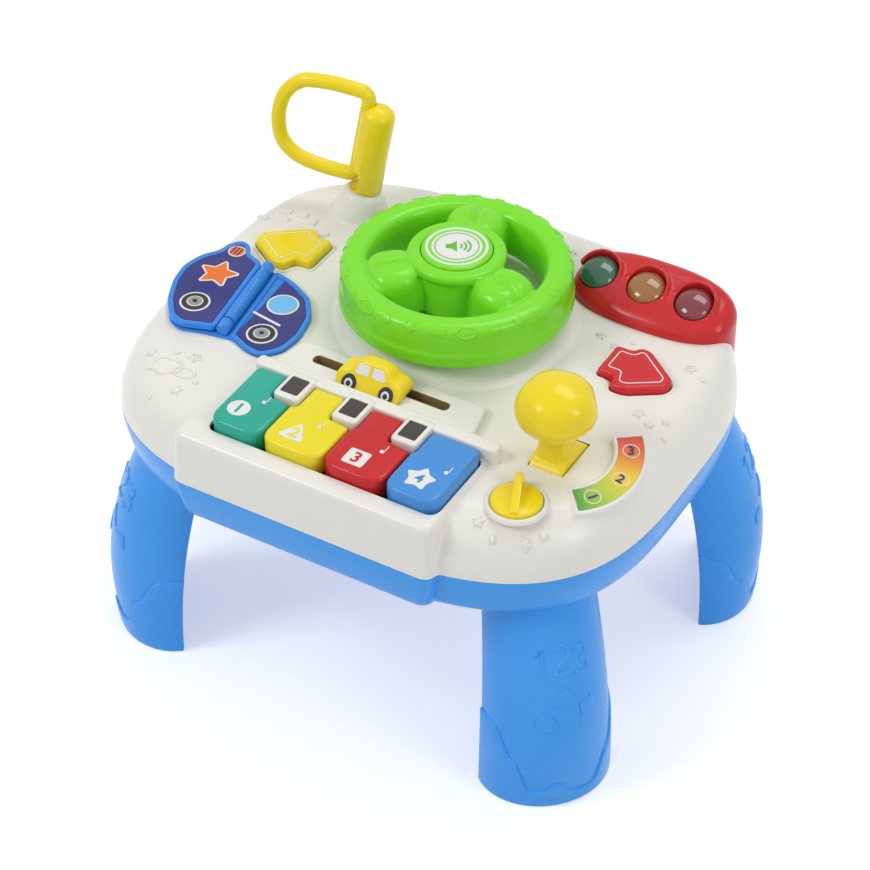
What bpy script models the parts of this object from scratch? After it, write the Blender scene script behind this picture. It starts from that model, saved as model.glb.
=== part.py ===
"""A child's activity table: a hollow white deck on a blue base with four flared legs.

Metres, +Z up. The origin is on the floor under the middle of the table, the child
sits on the -Y side, and the piano keys are at the front.
"""
import math

import bmesh
import bpy
from mathutils import Matrix, Vector

# Table outline, seen from above
TABLE_HALF_WIDTH = 0.1595
TABLE_HALF_DEPTH = 0.1345
FRONT_SETBACK = 0.0029
CORNER_POWER = 3.17
OUTLINE_STEPS = 48

# Heights of the two casings
DECK_HEIGHT = 0.1870
SEAM_HEIGHT = DECK_HEIGHT - 0.0314
BASE_BOTTOM = DECK_HEIGHT - 0.0550
EDGE_ROUND = 0.0260
BACK_ROUND_SHARE = 0.25
SIDE_ROUND_SHARE = 0.45
SIDE_ROUND_REACH = 0.55
EDGE_ANGLES = (0, 22, 42, 60, 76, 90)
BASE_TAPER = 0.0045
BASE_PROFILE_SHARES = ((1.0, 0.0), (0.8, 0.05), (0.31, 0.47), (0.04, 0.77), (0.0, 1.0))

# Walls and running gaps
DECK_WALL = 0.0022
BASE_WALL = 0.0030
FLOOR_WALL = 0.0024
LIP_WALL = 0.0012
LIP_TAPER = 0.0008
LIP_HEIGHT = 0.0040
LIP_DEPTH = 0.0035
FIT_GAP = 0.0003
MOVE_GAP = 0.0005
CUT_OVERRUN = 0.0020
JOIN_DEPTH = 0.0012

# Piano block at the front of the deck
BLOCK_HALF_WIDTH = TABLE_HALF_WIDTH * 0.5016
BLOCK_BACK = -TABLE_HALF_DEPTH * 0.4238
BLOCK_RISE = 0.0010
BLOCK_CORNER = 0.0080
BLOCK_LEAN = 0.0016
BLOCK_EDGE = 0.0042
BLOCK_EDGE_DROP = 0.0050
BLOCK_EDGE_SHARES = ((0.30, 0.36), (1.0, 0.0))

# Piano keys
KEY_LEFT = -TABLE_HALF_WIDTH * 0.3981
OUTER_KEY_WIDTH = TABLE_HALF_WIDTH * 0.2006
INNER_KEY_WIDTH = TABLE_HALF_WIDTH * 0.2320
KEY_BACK = -TABLE_HALF_DEPTH * 0.5249
KEY_FRONT = -TABLE_HALF_DEPTH * 0.8959
KEY_RISE = 0.0083
KEY_DEPTH = 0.0130
KEY_GAP = 0.0008
KEY_SWING_GAP = 0.0010
KEY_CORNER = 0.0070
KEY_BACK_CORNER = 0.0030
KEY_SHOULDER_CORNER = 0.0022
KEY_CHAMFER = 0.0060
KEY_EDGE = 0.0016
KEY_TAIL_THICKNESS = 0.0050
KEY_TAIL_LENGTH = 0.0150
KEY_TAIL_INSET = 0.0070
KEY_PRESS_ANGLE = 3.0
KEY_COLOURS = ((0.010, 0.376, 0.270), (0.871, 0.745, 0.005), (0.680, 0.008, 0.014), (0.045, 0.262, 0.716))
HINGE_ROD_RADIUS = 0.0015
HINGE_ROD_BEHIND = 0.0110
HINGE_ROD_OVERHANG = 0.0040
HINGE_LUG_WIDTH = 0.0035
HINGE_LUG_HALF = 0.0040
PLUNGER_LENGTH = 0.0050
PLUNGER_WIDTH = 0.0120
PLUNGER_PLACE_SHARE = 0.58

# Raised frames of the three sharps, with the ridge that carries them
SHARP_PITCH = TABLE_HALF_WIDTH * 0.2257
SHARP_WIDTH = 0.0105
SHARP_LENGTH = 0.0135
FRAME_MARGIN = 0.0025
FRAME_FRONT_MARGIN = 0.0036
FRAME_RISE = 0.0100
FRAME_EDGE = 0.0009
FRAME_CORNER = 0.0028
RIDGE_DEPTH = TABLE_HALF_DEPTH * 0.0654
RIDGE_RISE = 0.0090
RIDGE_SIDE = 0.0034
RIDGE_END = 0.0070
INLAY_THICKNESS = 0.0006
INLAY_POCKET = 0.0011

# Contact strip and its board under the keys
KEY_BOARD_HALF = TABLE_HALF_WIDTH * 0.4790
KEY_BOARD_DEPTH = 0.0180
KEY_BOARD_THICKNESS = 0.0016
STRIP_THICKNESS = 0.0011
DOME_HEIGHT = 0.0018
DOME_RADIUS = 0.0040
DOME_CLEARANCE = 0.0026
LEDGE_REACH = 0.0045
LEDGE_THICKNESS = 0.0020

# Slot panel and its sliding car
PANEL_FRONT_HALF = TABLE_HALF_WIDTH * 0.3887
PANEL_BACK_HALF = TABLE_HALF_WIDTH * 0.3574
PANEL_FRONT = -TABLE_HALF_DEPTH * 0.4387
PANEL_BACK = -TABLE_HALF_DEPTH * 0.2602
PANEL_RISE = 0.0045
PANEL_EDGE = 0.0012
SLOT_LEFT = -TABLE_HALF_WIDTH * 0.2759
SLOT_RIGHT = TABLE_HALF_WIDTH * 0.2508
SLOT_WIDTH = 0.0070
SLOT_PLACE = -TABLE_HALF_DEPTH * 0.3457
CAR_LENGTH = 0.0405
CAR_SHIFT = -0.0015
CAR_WIDTH = TABLE_HALF_DEPTH * 0.1413
CAR_HEIGHT = 0.0150
CAR_FRONT_LEAN = 0.0092
CAR_BACK_LEAN = 0.0030
CAR_NECK_LENGTH = 0.0120
RETAINER_OVERLAP = 0.0040
RETAINER_THICKNESS = 0.0020
CAR_SIDE_SHARES = ((-0.46, 0.0), (-0.50, 0.20), (-0.485, 0.42), (-0.42, 0.56), (-0.30, 0.64), (-0.20, 0.90),
                   (-0.11, 1.0), (0.12, 1.0), (0.24, 0.88), (0.33, 0.62), (0.455, 0.52), (0.50, 0.30), (0.48, 0.0))

# Steering wheel
WHEEL_PLACE_Y = TABLE_HALF_DEPTH * 0.2260
WHEEL_RADIUS = TABLE_HALF_DEPTH * 0.4803
WHEEL_TOP = DECK_HEIGHT + 0.0380
WHEEL_BOTTOM = DECK_HEIGHT + 0.0130
RIM_WIDTH = WHEEL_RADIUS * 0.2755
RIM_WALL = 0.0023
WHEEL_STEPS = 36
HUB_RADIUS = WHEEL_RADIUS * 0.4211
HUB_WAIST = HUB_RADIUS - 0.0026
HUB_TOP = DECK_HEIGHT + 0.0442
HUB_EDGE = 0.0020
SPOKE_LENGTH = WHEEL_RADIUS * 0.4644
SPOKE_WIDTH = WHEEL_RADIUS * 0.5186
SPOKE_RADIUS_SHARE = 0.545
SPOKE_RISE = 0.0042
SPOKE_DIRECTIONS = (104, 224, 344)
SPOKE_DOME_SHARES = ((0.0, 0.0), (0.0, 0.66), (0.06, 0.80), (0.20, 0.92), (0.42, 0.985), (0.66, 1.0))
SHAFT_RADIUS = 0.0070
HORN_RADIUS = HUB_RADIUS - 0.0076
HORN_RISE = 0.0018
HORN_THICKNESS = 0.0042
HORN_TRAVEL = 0.0020
HORN_EDGE = 0.0012
HORN_STEM_RADIUS = 0.0050
HORN_STEM_LENGTH = 0.0040
HUB_FLOOR = 0.0025
SCREW_RADIUS = 0.0015
SCREW_HEAD_RADIUS = 0.0040
SCREW_HEAD_HEIGHT = 0.0026
SCREW_BITE = 0.0100
WASHER_THICKNESS = 0.0018
WASHER_OVERLAP = 0.0035

# Mound under the wheel
MOUND_FOOT_RADIUS = TABLE_HALF_DEPTH * 0.5056
MOUND_TOP_RADIUS = TABLE_HALF_DEPTH * 0.3717
MOUND_RISE = 0.0078
COLLAR_WALL = 0.0026

# Traffic lights
LIGHTS_PLACE = (TABLE_HALF_WIDTH * 0.5693, TABLE_HALF_DEPTH * 0.6766)
LIGHTS_HALF_LENGTH = TABLE_HALF_WIDTH * 0.3009
LIGHTS_HALF_DEPTH = TABLE_HALF_DEPTH * 0.1725
LIGHTS_POWER = 2.5
LIGHTS_STEPS = 30
LIGHTS_HEIGHT = 0.0160
LIGHTS_SLOPE = 0.46
LIGHTS_FOOT = 0.0200
LIGHTS_WALL = 0.0022
LIGHTS_DOME_SHARES = ((0.0, -1.0), (0.0, 0.38), (0.10, 0.68), (0.25, 0.87), (0.43, 0.96), (0.62, 1.0))
LENS_PITCH = LIGHTS_HALF_LENGTH * 0.6042
LENS_SHIFT_X = -0.0038
LENS_SHIFT_Y = -0.0035
LENS_RADIUS = 0.0107
LENS_RISE = 0.0036
LENS_SKIRT = 0.0075
LENS_WALL = 0.0015
HOOD_WALL = 0.0020
HOOD_RISE = 0.0042
HOOD_FOOT = 0.0030
HOOD_MIDDLE = 78
HOOD_SWEEP = 190
HOOD_STEPS = 8
LENS_COLOURS = (("green", (0.005, 0.060, 0.026)), ("amber", (0.250, 0.085, 0.010)), ("red", (0.150, 0.002, 0.008)))
LED_RADIUS = 0.0025
LED_HEIGHT = 0.0055
LED_SETBACK = 0.0030
LED_BOARD_DEPTH = 0.0120
LED_BOARD_THICKNESS = 0.0016

# Turn buttons
ARROW_LENGTH = TABLE_HALF_WIDTH * 0.2476
ARROW_WIDTH = TABLE_HALF_DEPTH * 0.2751
ARROW_RIGHT_PLACE = (TABLE_HALF_WIDTH * 0.6959, TABLE_HALF_DEPTH * 0.2379)
ARROW_LEFT_PLACE = (-TABLE_HALF_WIDTH * 0.6947, TABLE_HALF_DEPTH * 0.2528)
ARROW_SHARES = ((-0.50, -0.27), (-0.50, 0.38), (-0.25, 0.38), (-0.18, 0.50), (-0.03, 0.50),
                (0.50, 0.06), (0.50, -0.16), (0.02, -0.50), (-0.19, -0.49), (-0.26, -0.27))
ARROW_CORNER = 0.0028
ARROW_RISE = 0.0050
ARROW_EDGE = 0.0016
ARROW_FLANGE = 0.0018
ARROW_FLANGE_THICKNESS = 0.0020
ARROW_RIM = 0.0022
ARROW_RIM_RISE = 0.0009
ARROW_TRAVEL = 0.0025

# Gear lever
GEAR_PLACE = (TABLE_HALF_WIDTH * 0.6583, -TABLE_HALF_DEPTH * 0.3383)
GEAR_REST_LEAN = 5.0
GEAR_PIVOT_DROP = 0.0145
GEAR_DRUM_RADIUS = 0.0205
GEAR_DRUM_WIDTH = 0.0200
GEAR_DRUM_HALF_ANGLE = 62
GEAR_HUB_RADIUS = 0.0065
GEAR_STEM_WIDTH = 0.0160
GEAR_STEM_FOOT = 0.0180
GEAR_STEM_TOP = 0.0380
GEAR_STEM_CORNER = 0.0028
GEAR_PIN_RADIUS = 0.0030
GEAR_EAR_THICKNESS = 0.0030
GEAR_EAR_HALF = 0.0070
GEAR_KNOB_RADIUS = 0.0218
GEAR_KNOB_HEIGHT = 0.0320
GEAR_KNOB_BASE = 0.0335
GEAR_KNOB_STEPS = 24
GEAR_KNOB_SHARES = ((0.0, 1.0), (0.34, 0.975), (0.66, 0.89), (0.87, 0.75), (0.985, 0.56), (0.99, 0.42),
                    (0.88, 0.25), (0.70, 0.12), (0.50, 0.03))
GEAR_LABEL_OUTER = TABLE_HALF_WIDTH * 0.2821
GEAR_LABEL_INNER = TABLE_HALF_WIDTH * 0.1975
GEAR_LABEL_CENTRE = (TABLE_HALF_WIDTH * 0.6470, -TABLE_HALF_DEPTH * 0.3286)
GEAR_LABEL_SPAN = (-47, 42)
GEAR_LABEL_TILT = 12.0
GEAR_LABEL_FALL = -24.0
GEAR_LABEL_HINGE_SHARE = 0.85
GEAR_LABEL_THICKNESS = 0.0004
GEAR_PAD_MARGIN = 0.0022
GEAR_PAD_RISE = 0.0012
GEAR_PAD_DEPTH = 0.0110

# Switch knob
SWITCH_PLACE = (TABLE_HALF_WIDTH * 0.6552, -TABLE_HALF_DEPTH * 0.6654)
SWITCH_RADIUS = 0.0136
SWITCH_THICKNESS = 0.0028
SWITCH_SHAFT_RADIUS = 0.0037
SWITCH_COLLAR_WIDTH = 0.0024
SWITCH_COLLAR_RISE = 0.0016
SWITCH_FIN_WIDTH = 0.0046
SWITCH_FIN_HEIGHT = 0.0095
SWITCH_FIN_OVERHANG = 0.0012
SWITCH_FIN_TURN = 22.0
SWITCH_BODY = (0.0240, 0.0150, 0.0060)
SWITCH_POST_RADIUS = 0.0022

# Car-shaped book
BOOK_PLACE = (-TABLE_HALF_WIDTH * 0.6602, -TABLE_HALF_DEPTH * 0.1599)
BOOK_LENGTH = TABLE_HALF_WIDTH * 0.5643
BOOK_DEPTH = TABLE_HALF_DEPTH * 0.6097
BOOK_LEFT_SHARES = ((-0.075, -0.43), (-0.19, -0.475), (-0.29, -0.425), (-0.39, -0.28), (-0.465, -0.09),
                    (-0.492, 0.08), (-0.455, 0.24), (-0.385, 0.335), (-0.370, 0.445), (-0.310, 0.512),
                    (-0.240, 0.490), (-0.205, 0.410))
BOOK_RIGHT_SHARES = ((0.17, 0.335), (0.345, 0.235), (0.455, 0.065), (0.495, -0.145),
                     (0.475, -0.33), (0.385, -0.455), (0.27, -0.445), (0.15, -0.385))
SPINE_BOTTOM_SHARE = (0.072, -0.385)
SPINE_TOP_SHARE = (-0.034, 0.372)
BOOK_FOOT = 0.0015
BOOK_BASE_THICKNESS = 0.0025
PAGE_THICKNESS = 0.0030
BOOK_EDGE = 0.0009
BOOK_CORNER = 0.0042
BOOK_BORDER = 0.0032
BOOK_POCKET = 0.0010
BOOK_LABEL_THICKNESS = 0.0004
SPINE_RADIUS = 0.0037
SPINE_PIN_RADIUS = 0.0011
SPINE_KNUCKLE = 0.0080
PLINTH_MARGIN = 0.0022
PLINTH_EDGE = 0.0010

# Post and loop
POST_PLACE = (-TABLE_HALF_WIDTH * 0.5981, TABLE_HALF_DEPTH * 0.6691)
POST_LEAN_X = 7.3
POST_LEAN_Y = 7.8
BOSS_RISE = 0.0145
BOSS_FOOT_RADIUS = 0.0165
BOSS_TOP_RADIUS = 0.0106
POST_RADIUS = 0.0098
POST_LENGTH = 0.0550
POST_FOOT_HEIGHT = 0.0012
POST_FOOT_RADIUS = 0.0088
POST_STEPS = 28
SHANK_RADIUS = 0.0048
SHANK_LENGTH = 0.0190
LOOP_TURN = 193.0
LOOP_ROD_RADIUS = 0.0043
LOOP_BAR_OFFSET = 0.0070
LOOP_LOW = 0.0062
LOOP_HIGH = 0.0606
LOOP_REACH = 0.0500
LOOP_SHARES = ((0.0, 0.106), (0.0, 0.35), (0.0, 0.62), (0.0, 0.895), (0.008, 0.936), (0.034, 0.973),
               (0.072, 0.994), (0.118, 1.0), (0.43, 0.989), (0.733, 0.936), (0.837, 0.879), (0.914, 0.804),
               (0.984, 0.679), (1.012, 0.532), (1.004, 0.376), (0.952, 0.211), (0.873, 0.106), (0.757, 0.037),
               (0.602, -0.002), (0.355, -0.013), (0.12, 0.0), (0.072, 0.007), (0.034, 0.029), (0.008, 0.066))

# Legs
LEG_FRONT_SPREAD = (TABLE_HALF_WIDTH * 0.7649, TABLE_HALF_DEPTH * 0.6245)
LEG_BACK_SPREAD = (TABLE_HALF_WIDTH * 0.8245, TABLE_HALF_DEPTH * 0.6691)
LEG_FRONT_DIRECTION = 41.3
LEG_BACK_DIRECTION = 27.0
LEG_HALF_WIDTH = 0.0365
LEG_TOP_HALF_WIDTH = 0.0300
LEG_REACH = 0.0312
LEG_BULGE = 0.0060
LEG_TOP_REACH = 0.0310
LEG_FLARE = 0.0220
LEG_FLARE_POWER = 2.1
LEG_WALL = 0.0026
LEG_TOP_WALL = 0.0065
LEG_SHOULDER = 0.0030
LEG_PLUG = 0.0110
LEG_STEPS = 10
LEG_ROW_SHARES = (0.3, 0.6, 0.85, 1.0)
BOOT_STEP = 0.0010
BOOT_HEIGHT = 0.0520
BOOT_LEDGE = 0.0006
BOOT_WAVE_SHARES = ((-1.0, 1.0), (-0.80, 0.90), (-0.55, 0.52), (-0.30, 0.16), (-0.10, 0.19), (0.08, 0.36),
                    (0.22, 0.24), (0.34, 0.24), (0.52, 0.62), (0.75, 0.97), (1.0, 1.0))

# Battery box, speaker and circuit board in the base
BOX_PLACE = (TABLE_HALF_WIDTH * 0.1881, TABLE_HALF_DEPTH * 0.1487)
BOX_LENGTH = 0.0560
BOX_WIDTH = 0.0480
BOX_WALL = 0.0040
BOX_ROOF = 0.0020
BOX_LATCH = 0.0090
CELL_RADIUS = 0.0071
CELL_LENGTH = BOX_LENGTH - 0.0060
CELL_COUNT = 3
CELL_GAP = 0.0004
DOOR_THICKNESS = 0.0019
SPEAKER_PLACE = (-TABLE_HALF_WIDTH * 0.4075, TABLE_HALF_DEPTH * 0.3346)
SPEAKER_RADIUS = 0.0250
SPEAKER_DEPTH = 0.0120
SPEAKER_RIM = 0.0025
GRILLE_HOLE_RADIUS = 0.0021
GRILLE_RING_SHARE = 0.50
GRILLE_COUNT = 6
BOARD_PLACE = (-TABLE_HALF_WIDTH * 0.2821, -TABLE_HALF_DEPTH * 0.2602)
BOARD_SIZE = (0.0640, 0.0420)
BOARD_THICKNESS = 0.0016
BOARD_POST_RADIUS = 0.0028
BOARD_POST_HEIGHT = 0.0120
BOARD_POST_SHARE = 0.38

# Screws that hold the two casings together
CASE_SCREW_SHARES = ((-0.28, -0.905), (0.28, -0.905), (-0.895, 0.10), (0.895, 0.10), (-0.28, 0.90), (0.28, 0.90))
CASE_BOSS_RADIUS = 0.0036
BOSS_RIB = 0.0024
CASE_POST_RADIUS = 0.0050
CASE_HEAD_RADIUS = 0.0030
CASE_HEAD_HEIGHT = 0.0020
CASE_HEAD_DEPTH = 0.0060
CASE_POST_HEIGHT = 0.0100
CASE_BITE = 0.0090
SMALL_ROUND_STEPS = 8
ROUND_STEPS = 20

# Colours in linear light
WHITE = (0.835, 0.812, 0.745)
BLUE = (0.035, 0.270, 0.880)
LIME = (0.130, 0.640, 0.006)
YELLOW = (0.880, 0.760, 0.006)
RED = (0.640, 0.004, 0.006)
BOOK_BLUE = (0.022, 0.240, 0.740)
INDIGO = (0.040, 0.034, 0.320)
SHARP_BROWN = (0.028, 0.020, 0.015)
LABEL_GREEN = (0.380, 0.420, 0.020)
BOARD_GREEN = (0.020, 0.160, 0.060)
STEEL = (0.560, 0.570, 0.580)
RUBBER_GREY = (0.180, 0.180, 0.190)
CELL_GREY = (0.080, 0.085, 0.095)

for old_object in list(bpy.data.objects):
    bpy.data.objects.remove(old_object, do_unlink=True)

PARTS = bpy.data.collections.new("activity_table")
CUTTERS = bpy.data.collections.new("activity_table_cutters")
bpy.context.scene.collection.children.link(PARTS)
bpy.context.scene.collection.children.link(CUTTERS)

# Heights and edges that follow from the values above
SEAM_TOP = SEAM_HEIGHT + FIT_GAP / 2
SEAM_BOTTOM = SEAM_HEIGHT - FIT_GAP / 2
DECK_UNDER = DECK_HEIGHT - DECK_WALL
FLOOR_TOP = BASE_BOTTOM + FLOOR_WALL
BLOCK_TOP = DECK_HEIGHT + BLOCK_RISE
BLOCK_FRONT = -TABLE_HALF_DEPTH
KEY_TOP = DECK_HEIGHT + KEY_RISE
KEY_BOTTOM = KEY_TOP - KEY_DEPTH
PANEL_TOP = DECK_HEIGHT + PANEL_RISE
MOUND_TOP = DECK_HEIGHT + MOUND_RISE
LIGHTS_TOP = DECK_HEIGHT + LIGHTS_HEIGHT
LEG_TOP = BASE_BOTTOM - FIT_GAP
ROD_HEIGHT = KEY_BOTTOM - KEY_TAIL_THICKNESS / 2
ROD_PLACE_Y = KEY_BACK + HINGE_ROD_BEHIND
GEAR_PIVOT = DECK_HEIGHT - GEAR_PIVOT_DROP
BOOK_BOTTOM = DECK_HEIGHT + BOOK_FOOT
BOOK_TOP = BOOK_BOTTOM + BOOK_BASE_THICKNESS
PAGE_BOTTOM = BOOK_TOP + FIT_GAP
SPINE_HEIGHT = PAGE_BOTTOM + PAGE_THICKNESS / 2


def finish_of(name, colour, roughness=0.35, metallic=0.0):
    """A Principled material with one colour."""
    found = bpy.data.materials.get(name)
    if found:
        return found
    made = bpy.data.materials.new(name)
    made.use_nodes = True
    shader = made.node_tree.nodes["Principled BSDF"]
    shader.inputs["Base Color"].default_value = (*colour, 1.0)
    shader.inputs["Roughness"].default_value = roughness
    shader.inputs["Metallic"].default_value = metallic
    made.diffuse_color = (*colour, 1.0)
    return made


def add_part(name, mesh, finish):
    """Link a mesh to the parts as a named object with its own material."""
    piece = bpy.data.objects.new(name, mesh)
    PARTS.objects.link(piece)
    mesh.materials.clear()
    mesh.materials.append(finish)
    mesh.shade_smooth()
    mesh.set_sharp_from_angle(angle=math.radians(35))
    return piece


def add_tool(name, mesh):
    """Link a mesh to the cutters, out of the render."""
    tool = bpy.data.objects.new(name, mesh)
    CUTTERS.objects.link(tool)
    tool.hide_render = True
    tool.display_type = "WIRE"
    return tool


def place(name, mesh, finish):
    """A part when it has a finish, otherwise a cutter."""
    return add_part(name, mesh, finish) if finish else add_tool(name, mesh)


def combine(target, tool, operation):
    """Cut or join a part with a tool object."""
    step = target.modifiers.new(f"{operation.lower()} {tool.name}", "BOOLEAN")
    step.operation = operation
    step.solver = "EXACT"
    step.object = tool
    return target


def cut(target, *tools):
    for tool in tools:
        combine(target, tool, "DIFFERENCE")
    return target


def join(target, *tools):
    for tool in tools:
        combine(target, tool, "UNION")
    return target


def loft(name, rings, finish=None):
    """A closed skin through rings of equally many points, capped at both ends."""
    shape = bmesh.new()
    rows = [[shape.verts.new(point) for point in ring] for ring in rings]
    count = len(rows[0])
    for low, high in zip(rows, rows[1:]):
        for here in range(count):
            after = (here + 1) % count
            shape.faces.new((low[here], low[after], high[after], high[here]))
    shape.faces.new(list(reversed(rows[0])))
    shape.faces.new(rows[-1])
    bmesh.ops.recalc_face_normals(shape, faces=shape.faces[:])
    mesh = bpy.data.meshes.new(name)
    shape.to_mesh(mesh)
    shape.free()
    return place(name, mesh, finish)


def turned(name, profile, centre, finish=None, steps=ROUND_STEPS):
    """A profile of radius and height pairs, turned about the upright line through centre."""
    shape = bmesh.new()
    dots = [shape.verts.new((radius, 0.0, height)) for radius, height in profile]
    for first, second in zip(dots, dots[1:]):
        shape.edges.new((first, second))
    if profile[0][0] > 0.0 and profile[-1][0] > 0.0:
        shape.edges.new((dots[-1], dots[0]))
    mesh = bpy.data.meshes.new(name)
    shape.to_mesh(mesh)
    shape.free()
    piece = place(name, mesh, finish)
    piece.location = centre
    screw = piece.modifiers.new("turn", "SCREW")
    screw.axis = "Z"
    screw.steps = steps
    screw.render_steps = steps
    screw.use_merge_vertices = True
    screw.merge_threshold = 0.00001
    screw.use_smooth_shade = True
    return piece


def cylinder(name, radius, bottom, top, centre, finish=None, steps=ROUND_STEPS):
    """An upright round bar between two heights."""
    shape = bmesh.new()
    bmesh.ops.create_cone(shape, cap_ends=True, segments=steps, radius1=radius, radius2=radius, depth=top - bottom)
    bmesh.ops.translate(shape, verts=shape.verts[:], vec=(0.0, 0.0, (top + bottom) / 2))
    mesh = bpy.data.meshes.new(name)
    shape.to_mesh(mesh)
    shape.free()
    piece = place(name, mesh, finish)
    piece.location = (centre[0], centre[1], 0.0)
    return piece


def bar(name, radius, start, end, finish=None, steps=SMALL_ROUND_STEPS):
    """A round bar between two points."""
    start, end = Vector(start), Vector(end)
    shape = bmesh.new()
    bmesh.ops.create_cone(shape, cap_ends=True, segments=steps, radius1=radius, radius2=radius,
                          depth=(end - start).length)
    turn = (end - start).to_track_quat("Z", "Y").to_matrix().to_4x4()
    mesh = bpy.data.meshes.new(name)
    shape.to_mesh(mesh)
    shape.free()
    piece = place(name, mesh, finish)
    piece.matrix_basis = Matrix.Translation((start + end) / 2) @ turn
    return piece


def block(name, low, high, finish=None):
    """A box between its lowest and highest corners."""
    low, high = Vector(low), Vector(high)
    shape = bmesh.new()
    bmesh.ops.create_cube(shape, size=1.0)
    bmesh.ops.scale(shape, verts=shape.verts[:], vec=high - low)
    mesh = bpy.data.meshes.new(name)
    shape.to_mesh(mesh)
    shape.free()
    piece = place(name, mesh, finish)
    piece.location = (low + high) / 2
    return piece


def inset_outline(points, inset):
    """The outline moved inwards by a distance, with mitred corners. It runs anticlockwise."""
    moved = []
    count = len(points)
    for here in range(count):
        before, at, after = (Vector(points[(here + step) % count]) for step in (-1, 0, 1))
        first = (at - before).normalized()
        second = (after - at).normalized()
        first_normal = Vector((-first.y, first.x))
        second_normal = Vector((-second.y, second.x))
        middle = (first_normal + second_normal).normalized()
        reach = inset / max(middle.dot(first_normal), 0.5)
        moved.append(at + middle * reach)
    return moved


def rounded(points, radius, steps=2):
    """The outline with each corner softened into a short curve. Radius is one value, or one for each corner."""
    soft = []
    count = len(points)
    radii = radius if isinstance(radius, (list, tuple)) else [radius] * count
    for here in range(count):
        before, at, after = (Vector(points[(here + step) % count]) for step in (-1, 0, 1))
        limit = min((at - before).length, (after - at).length) * 0.45
        reach = min(radii[here], limit)
        start = at + (before - at).normalized() * reach
        end = at + (after - at).normalized() * reach
        for step in range(steps + 1):
            share = step / steps
            soft.append(start * (1 - share) ** 2 + at * 2 * share * (1 - share) + end * share ** 2)
    return soft


def rectangle(left, right, front, back):
    return [(left, front), (right, front), (right, back), (left, back)]


def soft_outline(sharp, inset, corner=0.0, steps=2):
    """A sharp outline moved inwards, then with its corners softened by what is left of the radius."""
    moved = inset_outline(sharp, inset)
    if isinstance(corner, (list, tuple)):
        return rounded(moved, [max(radius - inset, radius / 3) for radius in corner], steps)
    return rounded(moved, max(corner - inset, corner / 3), steps) if corner else moved


def stack(name, sharp, levels, finish=None, corner=0.0, steps=2):
    """A solid whose outline is inset by the first value of each level at the height in the second."""
    rings = [[(point.x, point.y, height) for point in soft_outline(sharp, inset, corner, steps)]
             for inset, height in levels]
    return loft(name, rings, finish)


def superellipse(half_width, front, back, power, steps=OUTLINE_STEPS, centre=(0.0, 0.0), back_widening=0.0):
    """An outline between an ellipse and a box, with its own depth and width to the front and to the back."""
    points = []
    for step in range(steps):
        turn = 2 * math.pi * step / steps
        across, along = math.cos(turn), math.sin(turn)
        depth = back if along > 0 else front
        width = half_width + back_widening * min(max(along, 0.0) / SIDE_ROUND_REACH, 1.0)
        points.append(Vector((centre[0] + width * math.copysign(abs(across) ** (2 / power), across),
                              centre[1] + depth * math.copysign(abs(along) ** (2 / power), along))))
    return points


def table_ring(inset, height, back_share=1.0, side_share=1.0):
    """The table's outline moved in from the seam, at one height, less at the sides' back and at the back."""
    outline = superellipse(TABLE_HALF_WIDTH - inset, TABLE_HALF_DEPTH - FRONT_SETBACK - inset,
                           TABLE_HALF_DEPTH - inset * back_share, CORNER_POWER,
                           back_widening=inset * (1 - side_share))
    return [(point.x, point.y, height) for point in outline]


def deck_solid(name, grow, bottom):
    """The deck's outer form, grown outwards by a distance and cut off at a height."""
    rings = [table_ring(-grow, bottom)] if bottom < SEAM_TOP else []
    for angle in EDGE_ANGLES:
        inset = EDGE_ROUND * (1 - math.cos(math.radians(angle))) - grow
        height = SEAM_TOP + (DECK_HEIGHT - SEAM_TOP + grow) * math.sin(math.radians(angle))
        inside = inset <= 0
        rings.append(table_ring(inset, height, 1.0 if inside else BACK_ROUND_SHARE,
                                1.0 if inside else SIDE_ROUND_SHARE))
    return loft(name, rings)


def block_outline():
    return rectangle(-BLOCK_HALF_WIDTH, BLOCK_HALF_WIDTH, BLOCK_FRONT, BLOCK_BACK)


def block_solid(name, grow, bottom):
    """The piano block above the seam, grown outwards by a distance."""
    levels = [(-grow, bottom)] if bottom < SEAM_TOP else []
    levels += [(-grow, SEAM_TOP), (BLOCK_LEAN - grow, BLOCK_TOP - BLOCK_EDGE_DROP + grow)]
    levels += [(BLOCK_LEAN + BLOCK_EDGE * share - grow, BLOCK_TOP - BLOCK_EDGE_DROP * drop + grow)
               for share, drop in BLOCK_EDGE_SHARES]
    return stack(name, block_outline(), levels, corner=BLOCK_CORNER)


def mound_solid(name, grow, core=0.0):
    """The mound under the wheel, grown outwards by a distance and left open inside a core radius."""
    centre = (0.0, WHEEL_PLACE_Y, 0.0)
    low = DECK_HEIGHT - JOIN_DEPTH - DECK_WALL
    profile = [(core, MOUND_TOP + grow), (MOUND_TOP_RADIUS + grow, MOUND_TOP + grow),
               (MOUND_FOOT_RADIUS + grow, DECK_HEIGHT + grow), (MOUND_FOOT_RADIUS + grow, low + grow),
               (core, low + grow)]
    return turned(name, profile, centre, steps=WHEEL_STEPS)


# Deck casing


def key_edges():
    """Left and right side of each key, front width, before its gap."""
    widths = (OUTER_KEY_WIDTH, INNER_KEY_WIDTH, INNER_KEY_WIDTH, OUTER_KEY_WIDTH)
    edges = [KEY_LEFT]
    for width in widths:
        edges.append(edges[-1] + width)
    return edges


def sharp_centres():
    return (-SHARP_PITCH, 0.0, SHARP_PITCH)


def frame_sides(centre):
    """Left side, right side and front of one sharp's raised frame."""
    half = SHARP_WIDTH / 2 + FRAME_MARGIN
    return centre - half, centre + half, KEY_BACK - SHARP_LENGTH - FRAME_FRONT_MARGIN


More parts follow.
